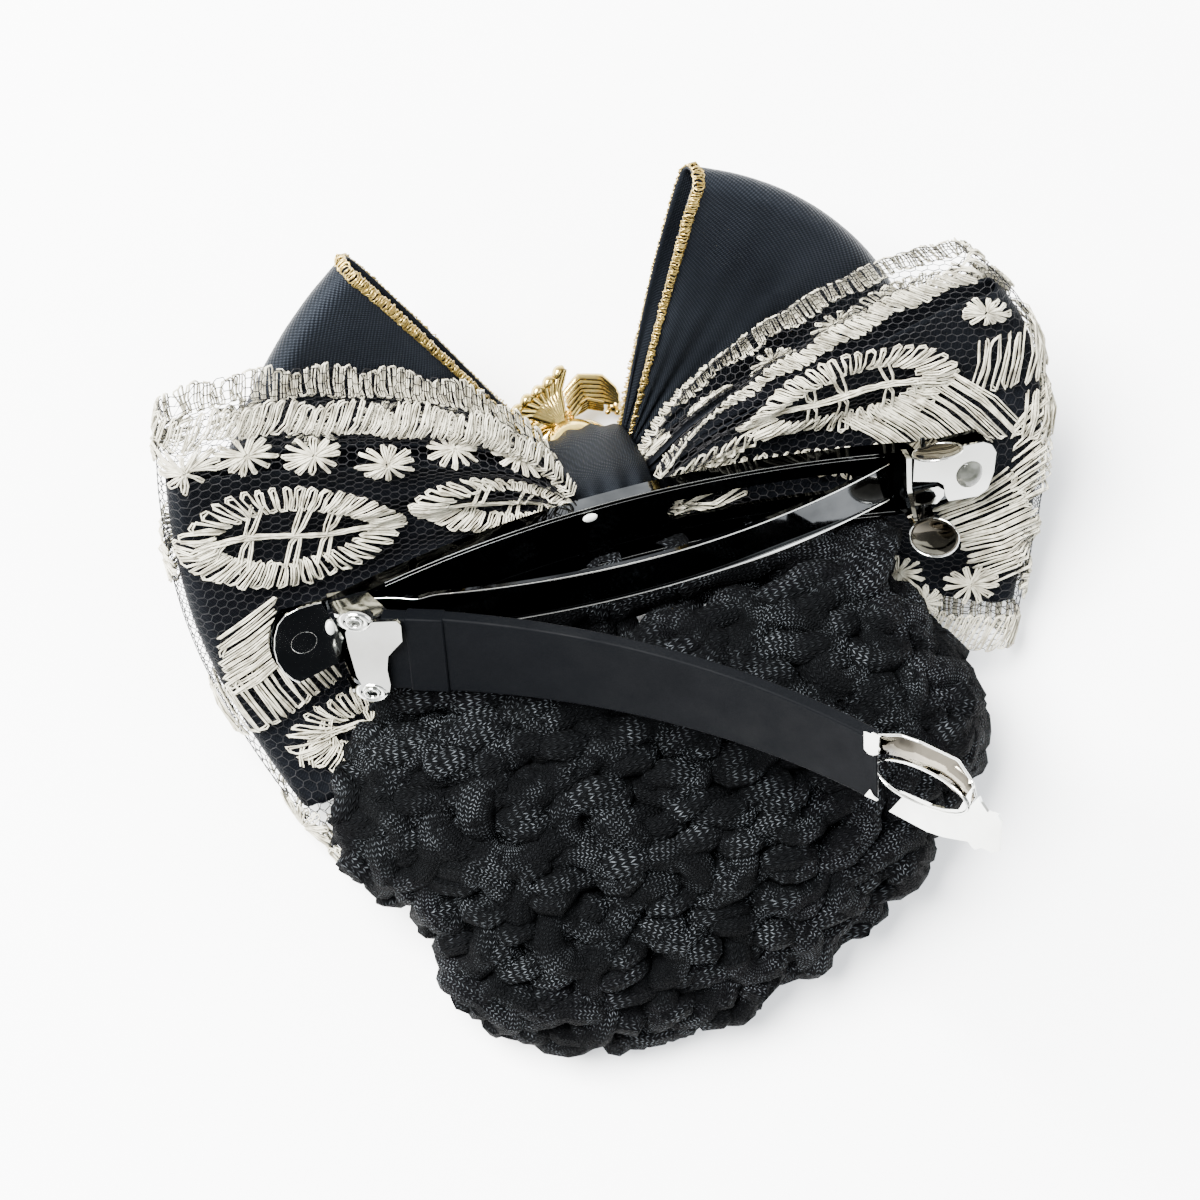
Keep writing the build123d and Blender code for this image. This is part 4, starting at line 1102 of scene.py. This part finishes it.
def edge_wire(name, places, thick, sides, body="root"):
    """A rolled or polished edge through places in the row frame."""
    mesh = tube_mesh(name, [np.array(places)], thick, sides)
    return new_piece(name, mesh, bright_metal, body)


def build_arm_window():
    """The arm's open end: its flat plate and tip, the bent upper band and the window's rolled rim."""
    plane = arm_frame(WINDOW_MIDDLE)
    flat_plate("window_plate", WINDOW_PLATE, plane, WINDOW_SHEET, "arm")
    for name, outline in (("window_neck", WINDOW_NECK), ("window_corner", WINDOW_CORNER)):
        flat_plate(name, outline, plane @ Matrix.Translation((0, 0, 1.0)), THIN_SHEET, "arm")
    plate_band("window_band", WINDOW_BAND_LOW, WINDOW_BAND_HIGH, plane, "arm", shaded_metal)
    bent_edge = [plane @ Vector(place) for place in spaced(np.array(WINDOW_BAND_HIGH), EDGE_STEPS)]
    edge_wire("window_band_edge", bent_edge, 0.15, 8, "arm")
    slewed = plane @ Matrix.Rotation(WINDOW_SLEW, 4, "Z")
    ring_tube("window_rim", slewed, (-0.66, 0.78), (6.1, 2.35), 0.18, 0.17, "arm")


def cut_off(piece, place, way):
    """Takes away what lies beyond a plane, where other pieces stand for it, and caps the cut."""
    shape = bmesh.new()
    shape.from_mesh(piece.data)
    whole = shape.verts[:] + shape.edges[:] + shape.faces[:]
    cut = bmesh.ops.bisect_plane(shape, geom=whole, clear_outer=True, plane_co=place, plane_no=way)
    rim = [part for part in cut["geom_cut"] if isinstance(part, bmesh.types.BMEdge)]
    bmesh.ops.holes_fill(shape, edges=rim)
    shape.to_mesh(piece.data)
    shape.free()


def build_arm_strip():
    """The arm's sprung strip, between its root and its window."""
    piece = frame_copy("arm_bar", "arm_strip", bright_metal, "arm", 0.12)
    for length, side in ((WINDOW_MIDDLE - WINDOW_STRIP_GAP, 1), (ARM_STRIP_START, -1)):
        plane = arm_frame(length)
        cut_off(piece, plane.translation, side * plane.to_3x3().col[0])


def ring_tube(name, matrix, centre, radii, level, thick, body="root"):
    """A thin round wire or rolled edge on an ellipse."""
    turn = np.linspace(0, 2 * pi, 40, endpoint=False)
    loop = [matrix @ Vector((centre[0] + radii[0] * cos(way), centre[1] + radii[1] * sin(way), level))
            for way in turn]
    mesh = tube_mesh(name, [np.array(loop)], thick, 8, True)
    return new_piece(name, mesh, bright_metal, body)


def wall_frame(side):
    """Matrix of an upright plane along the clasp at a distance above its middle line."""
    return CLASP @ Matrix.Translation((0, side, 0)) @ Matrix.Rotation(radians(90), 4, "X")


def build_arm_root():
    """The folded root of the arm: the cap, its two side walls, their eyelets and the sleeve's laps."""
    plane = arm_frame(ARM_ROOT)
    cap_plane = plane @ Matrix.Translation((0, 0, ROOT_CAP_LEVEL))
    flat_plate("root_cap", ROOT_CAP, cap_plane, THICK_SHEET, "arm")
    flat_plate("root_wall_upper", ROOT_WALL, wall_frame(ROOT_WALL_SIDE), THICK_SHEET, "arm")
    flat_plate("root_wall_lower", ROOT_WALL, wall_frame(-ROOT_WALL_SIDE), THICK_SHEET, "arm")
    for name, centre in ROOT_LOBES:
        shape = bmesh.new()
        shoulder = (LOBE_RADII[0] * 0.8, LOBE_RADII[1] * 0.8)
        dish(shape, ((centre, LOBE_RADII, 1.50), (centre, shoulder, 1.72), (centre, BORE_RADII, 1.60)),
             closed_end=False)
        place_plate("root_lobe_" + name, shape, plane, WINDOW_SHEET, "arm")
        ring_tube("root_eyelet_" + name, plane, centre, EYELET_RADII, 1.84, 0.15, "arm")
    for name, middle, size in SLEEVE_LAPS:
        shape = bmesh.new()
        bmesh.ops.create_cube(shape, size=1)
        bmesh.ops.transform(shape, verts=shape.verts, matrix=plane @ Matrix.Translation((middle, 0.0, 0.05))
                            @ Matrix.Diagonal((*size, 1)))
        lap = new_piece(name, mesh_from(name, shape), sleeve_rubber, "arm")
        round_edges(smooth_by_angle(lap), 0.2)


def build_end_plates():
    """The clasp's flat ends with their folds and holes, the hinge's upper wall and the drops of glue."""
    nod = CLASP @ Matrix.Translation((0, 0, RIGHT_PLATE_LEVEL)) @ Matrix.Rotation(CATCH_NOD, 4, "X")
    flat_plate("end_plate_right", RIGHT_PLATE, nod, THIN_SHEET)
    left = CLASP @ Matrix.Translation((0, 0, LEFT_PLATE_LEVEL))
    flat_plate("end_plate_left", LEFT_PLATE, left, THIN_SHEET)
    outline = [CLASP @ Vector((x, y, LEFT_PLATE_LEVEL + 0.13)) for x, y in LEFT_PLATE[:10]]
    edge_wire("left_plate_edge", outline, 0.08, 4)
    ring_tube("left_plate_hole", CLASP, (-36.5, 0.1), (1.35, 1.35), LEFT_PLATE_LEVEL + 0.11, 0.02)
    fold = CLASP @ Matrix.Translation((0, 0, 5.5))
    # The fold is in the near-black plating: painted shade and dark reflection.
    flat_plate("right_plate_fold", RIGHT_FOLD, fold, 0.2, made=dark_reflection_metal)
    flat_plate("right_plate_lobe", RIGHT_LOBE, nod, THIN_SHEET)
    # A dark sheet over the lobe stands for its hole: painted shade.
    flat_plate("right_lobe_hole_shade", RIGHT_HOLE, nod @ Matrix.Translation((0, 0, 0.14)), 0.1, made=dark_reflection_metal)
    flat_plate("hinge_wall_upper", HINGE_WALL, wall_frame(HINGE_WALL_SIDE), THICK_SHEET)
    for name, centre, radii, made in GLUE_PLACES:
        shape = bmesh.new()
        bmesh.ops.create_uvsphere(shape, u_segments=32, v_segments=20, radius=1)
        bmesh.ops.transform(shape, verts=shape.verts, matrix=CLASP @ Matrix.Translation(centre)
                            @ Matrix.Diagonal((*radii, 1)))
        new_piece(name, mesh_from(name, shape), made)


def build_catch():
    """The catch: its foot and walls, the two dished ears that are squeezed to open it, and its hook."""
    # The catch's foot and walls are in the near-black plating: a painted dark reflection.
    piece = frame_copy("catch", "catch_plate", dark_reflection_metal)
    cut_off(piece, CLASP @ Vector((0, 0, CATCH_LEVEL)), HEADWARD)
    for name, side, centre, lean in EARS:
        plane = CLASP @ Matrix.Translation(centre) @ Matrix.Rotation(radians(-90 - side * lean), 4, "X")
        shape = bmesh.new()
        dish(shape, [((0, 0), (radius, radius), level) for radius, level in EAR_SECTIONS])
        place_plate("catch_ear_" + name, shape, plane, 0.2, made=shaded_metal)
        ring_tube("catch_rim_" + name, plane, (0, 0), (EAR_RADIUS, EAR_RADIUS), 0.04, 0.12)
        flat_plate("catch_neck_" + name, EAR_NECK, plane, WINDOW_SHEET, made=shaded_metal)
    hook = CLASP @ Matrix.Translation((0, 0, HOOK_LEVEL)) @ Matrix.Rotation(CATCH_NOD, 4, "X")
    flat_plate("catch_hook", CATCH_HOOK, hook, HOOK_THICK)


build_arm_window()
build_arm_root()
build_end_plates()
build_arm_strip()
frame_copy("arm_sleeve", "arm_cover", sleeve_rubber, "arm", 0.22)
# The base is in the near-black plating: a painted dark reflection.
frame_copy("base_plate", "clasp_base", dark_reflection_metal)
build_rail_edges()
build_catch()
for end in ("upper", "lower"):
    frame_copy("hinge_rivet_" + end, "rivet_" + end, bright_metal)
build_tension_bar()


# Knot and ornament

KNOT_WIDTH, KNOT_HEIGHT, KNOT_DEPTH, KNOT_TOP = 8.0, 8.8, 13.2, -0.8
KNOT_RIBBON, KNOT_CLOTH = 10.0, 0.35
KNOT_MIDDLE = KNOT_TOP - KNOT_DEPTH / 2
ORNAMENT_BACK = KNOT_TOP - KNOT_DEPTH - 0.3
SEAT_CENTRE, SEAT_RADII = (-0.3, 0.5, 0.9), (3.0, 2.3, 2.3)
WING_ROOT, WING_BEND = np.array((-0.8, 1.6, 2.2)), np.array((-0.5, 0.5, 0.9))
WING_EDGE = np.array(((-6.0, 3.4, 3.4), (-4.7, 4.4, 4.0), (-2.6, 5.0, 4.6), (-0.6, 5.8, 5.2),
                      (0.7, 6.5, 5.8)))
EDGE_BEND = np.array((0, 0.25, 0.2))
TAILS = (
    ((-4.4, -1.0, 2.4), (-2.2, 0.2, 3.2), (-0.4, 1.0, 3.0)),
    ((4.6, -1.6, 2.2), (2.4, -0.2, 3.0), (0.4, 0.9, 3.0)),
    ((-5.6, 1.2, 2.6), (-2.8, 1.7, 3.6), (-0.2, 1.5, 3.4)),
    ((-3.0, -2.6, 2.0), (-1.4, -0.8, 2.8), (0.0, 0.8, 2.8)),
)
BEADS = (
    ((5.3, 1.5, 3.7), 0.75),
    ((5.9, 2.5, 4.3), 0.40),
    ((5.6, 3.3, 4.8), 0.32),
    ((5.1, 4.0, 5.2), 0.28),
    ((5.7, 0.8, 3.4), 0.42),
    ((4.7, 0.9, 3.7), 0.38),
    ((-0.2, 1.5, 3.6), 1.15),
)


def knot_round(turn):
    """Places and outward ways round the knot's section, across and along the clasp's N."""
    wide, tall = np.cos(turn), np.sin(turn)
    across = (KNOT_HEIGHT / 2 - 0.4) * np.sign(wide) * np.abs(wide) ** 0.55
    level = KNOT_MIDDLE + (KNOT_DEPTH / 2 - 0.4) * np.sign(tall) * np.abs(tall) ** 0.45
    return across, level


def build_knot():
    """The ribbon round the bow's middle: crowned across, drawn in at its sides, with pulled wrinkles."""
    girth = 2 * (KNOT_HEIGHT + KNOT_DEPTH) - 5.0
    shape = flat_cloth(girth, KNOT_WIDTH, 120, 40)

    def wound(along, across, height):
        turn = 2 * pi * along / girth
        share = across / KNOT_WIDTH - 0.5
        y, level = knot_round(turn)
        crown = 0.9 * (1 - (2 * share) ** 2) - 0.45
        pull = 0.4 + 0.6 * np.abs(np.sin(turn))
        pulled = 0.22 * np.sin(2 * pi * 3.2 * share + 1.6 * np.sin(turn)) * pull
        grow = 1 + (crown + pulled) / 6.0
        flare = 1 + 0.10 * np.cos(turn)
        x = KNOT_WIDTH * share * flare
        return clasp_points(np.stack([x, y * grow, KNOT_MIDDLE + (level - KNOT_MIDDLE) * grow], -1))

    wrap(shape, wound)
    bmesh.ops.remove_doubles(shape, verts=shape.verts, dist=0.01 * MM)
    # The knot is in the darker copy of the satin: painted shade.
    piece = new_piece("knot_ribbon", mesh_from("knot_ribbon", shape), shaded_knot_satin)
    wall = piece.modifiers.new("wall", "SOLIDIFY")
    wall.thickness = KNOT_CLOTH * MM
    wall.offset = -1
    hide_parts("knot_band")


def ornament_points(points):
    """Points of the ornament's own frame, across the bow, up it and out from its back, in the row frame."""
    points = np.asarray(points, float)
    return clasp_points(np.stack([points[..., 0], points[..., 1], ORNAMENT_BACK - points[..., 2]], -1))


def strands(name, lines, thick, thin):
    """Cast strands that taper towards both ends."""
    fine = [spaced(np.asarray(line, float), 15) for line in lines]
    radii = [thin + (thick - thin) * np.sin(pi * np.linspace(0.08, 0.86, 15)) ** 0.7 for _ in fine]
    return tube_mesh(name, [ornament_points(line) for line in fine], 1.0, 8, False, radii)


def build_ornament():
    """The cast ornament: a ribbed wing to a peak, a ribbed hood with a beaded tip, and their seat."""
    wing = [(WING_ROOT, (WING_ROOT + end) / 2 + WING_BEND, end) for end in spaced(WING_EDGE, 9)]
    corners = spaced(WING_EDGE, 6)
    wing += [(start, (start + end) / 2 + EDGE_BEND, end) for start, end in zip(corners, corners[1:])]
    hood = []
    for layer in range(6):
        low = 0.45 * layer
        hood.append(((0.2, 3.9 - low * 0.7, 4.8 - low), (2.2, 5.0 - low, 5.6 - low * 0.5),
                     (4.6, 4.6 - low, 5.0 - low * 0.5), (5.9, 3.0 - low * 0.5, 4.2 - low * 0.4),
                     (5.4, 1.8, 3.6 - low * 0.3)))
    inner = [((0.8, 2.7 - 0.3 * row, 3.4), (2.6, 2.9 - 0.3 * row, 4.1), (4.2, 2.4 - 0.3 * row, 3.5))
             for row in range(4)]
    parts = [strands("wing", wing, 0.62, 0.16), strands("hood", hood, 0.50, 0.20),
             strands("inner", inner, 0.34, 0.14), strands("tails", TAILS, 0.95, 0.30)]
    shape = bmesh.new()
    seat = bmesh.ops.create_icosphere(shape, subdivisions=3, radius=1)["verts"]
    bmesh.ops.transform(shape, verts=seat, matrix=Matrix.Translation(SEAT_CENTRE)
                        @ Matrix.Diagonal((*SEAT_RADII, 1)))
    for place, radius in BEADS:
        bead = bmesh.ops.create_icosphere(shape, subdivisions=2, radius=radius)["verts"]
        bmesh.ops.translate(shape, verts=bead, vec=place)
    for vert in shape.verts:
        vert.co = ornament_points(vert.co[:])
    parts.append(mesh_from("beads", shape))
    piece = new_piece("cast_bow", join_meshes("cast_bow", parts), gold_cast)
    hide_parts("ornament")


build_knot()
build_ornament()


# Floor, light and camera. The camera is the one that fits points of the clasp in the photograph

FLOOR_DROP = 0.0002
LAMPS = (
    ("key_light", (-0.55, 0.45, 0.95), 0.62, 172, (1.0, 0.99, 0.97)),
    ("fill_light", (0.75, -0.25, 0.85), 0.9, 13, (0.90, 0.95, 1.0)),
)
ROOM_STRENGTH = 3.6
CAMERA_LENS, CAMERA_SENSOR, CAMERA_NEAR = 107.35, 36.0, 0.01
CAMERA_PLACE = (-0.088036, 0.007294, 0.383581)
CAMERA_RIGHT, CAMERA_BACK = Vector((0.9427, -0.2541, 0.2163)), Vector((-0.2207, 0.0114, 0.9753))


def build_stage():
    """A white surface, a broad light from the upper left and a weak one from the right."""
    shape = bmesh.new()
    bmesh.ops.create_grid(shape, x_segments=1, y_segments=1, size=1.5)
    floor = bpy.data.objects.new("floor", mesh_from("floor", shape))
    bpy.context.scene.collection.objects.link(floor)
    floor.location.z = -FLOOR_DROP
    paper = new_material("white_paper", (0.93, 0.94, 0.95), 0.8)
    floor.data.materials.append(paper)
    for name, place, size, power, tint in LAMPS:
        light = bpy.data.lights.new(name, "AREA")
        light.size = size
        light.energy = power
        light.color = tint
        lamp = bpy.data.objects.new(name, light)
        lamp.location = place
        lamp.rotation_euler = (-Vector(place)).to_track_quat("-Z", "Y").to_euler()
        bpy.context.scene.collection.objects.link(lamp)


def build_room():
    """A room with pale walls, a dim ceiling and a dark patch in front, which the flat metal reflects."""
    room = bpy.data.worlds.new("room")
    bpy.context.scene.world = room
    room.use_nodes = True
    background = room.node_tree.nodes["Background"]
    way = node(room, "TexCoord")
    across, front, height = [node(room, "SeparateXYZ", {0: way}, output=part) for part in range(3)]
    wide = arithmetic(room, "MULTIPLY", spread_over(room, across, 0.70, 0.62),
                      spread_over(room, across, -0.43, -0.37))
    dark = arithmetic(room, "MULTIPLY", spread_over(room, height, 0.29, 0.23),
                      arithmetic(room, "MULTIPLY", spread_over(room, front, -0.55, -0.62), wide))
    upper = spread_over(room, height, 0.35, 0.75)
    walls = colour_between(room, upper, (1.0, 1.0, 1.0), (0.16, 0.165, 0.175))
    shade = colour_between(room, dark, walls, (0.004, 0.0045, 0.0055))
    room.node_tree.links.new(shade, background.inputs["Color"])
    background.inputs["Strength"].default_value = ROOM_STRENGTH


def build_camera():
    """The photograph's camera, from the fit to points of the clasp."""
    camera = bpy.data.cameras.new("camera")
    camera.lens = CAMERA_LENS
    camera.sensor_width = CAMERA_SENSOR
    camera.clip_start = CAMERA_NEAR
    viewer = bpy.data.objects.new("camera", camera)
    right = CAMERA_RIGHT.normalized()
    back = (CAMERA_BACK - right * CAMERA_BACK.dot(right)).normalized()
    turn = Matrix((right, back.cross(right), back)).transposed().to_4x4()
    viewer.matrix_world = Matrix.Translation(CAMERA_PLACE) @ turn
    bpy.context.scene.collection.objects.link(viewer)
    bpy.context.scene.camera = viewer


build_stage()
build_room()
build_camera()
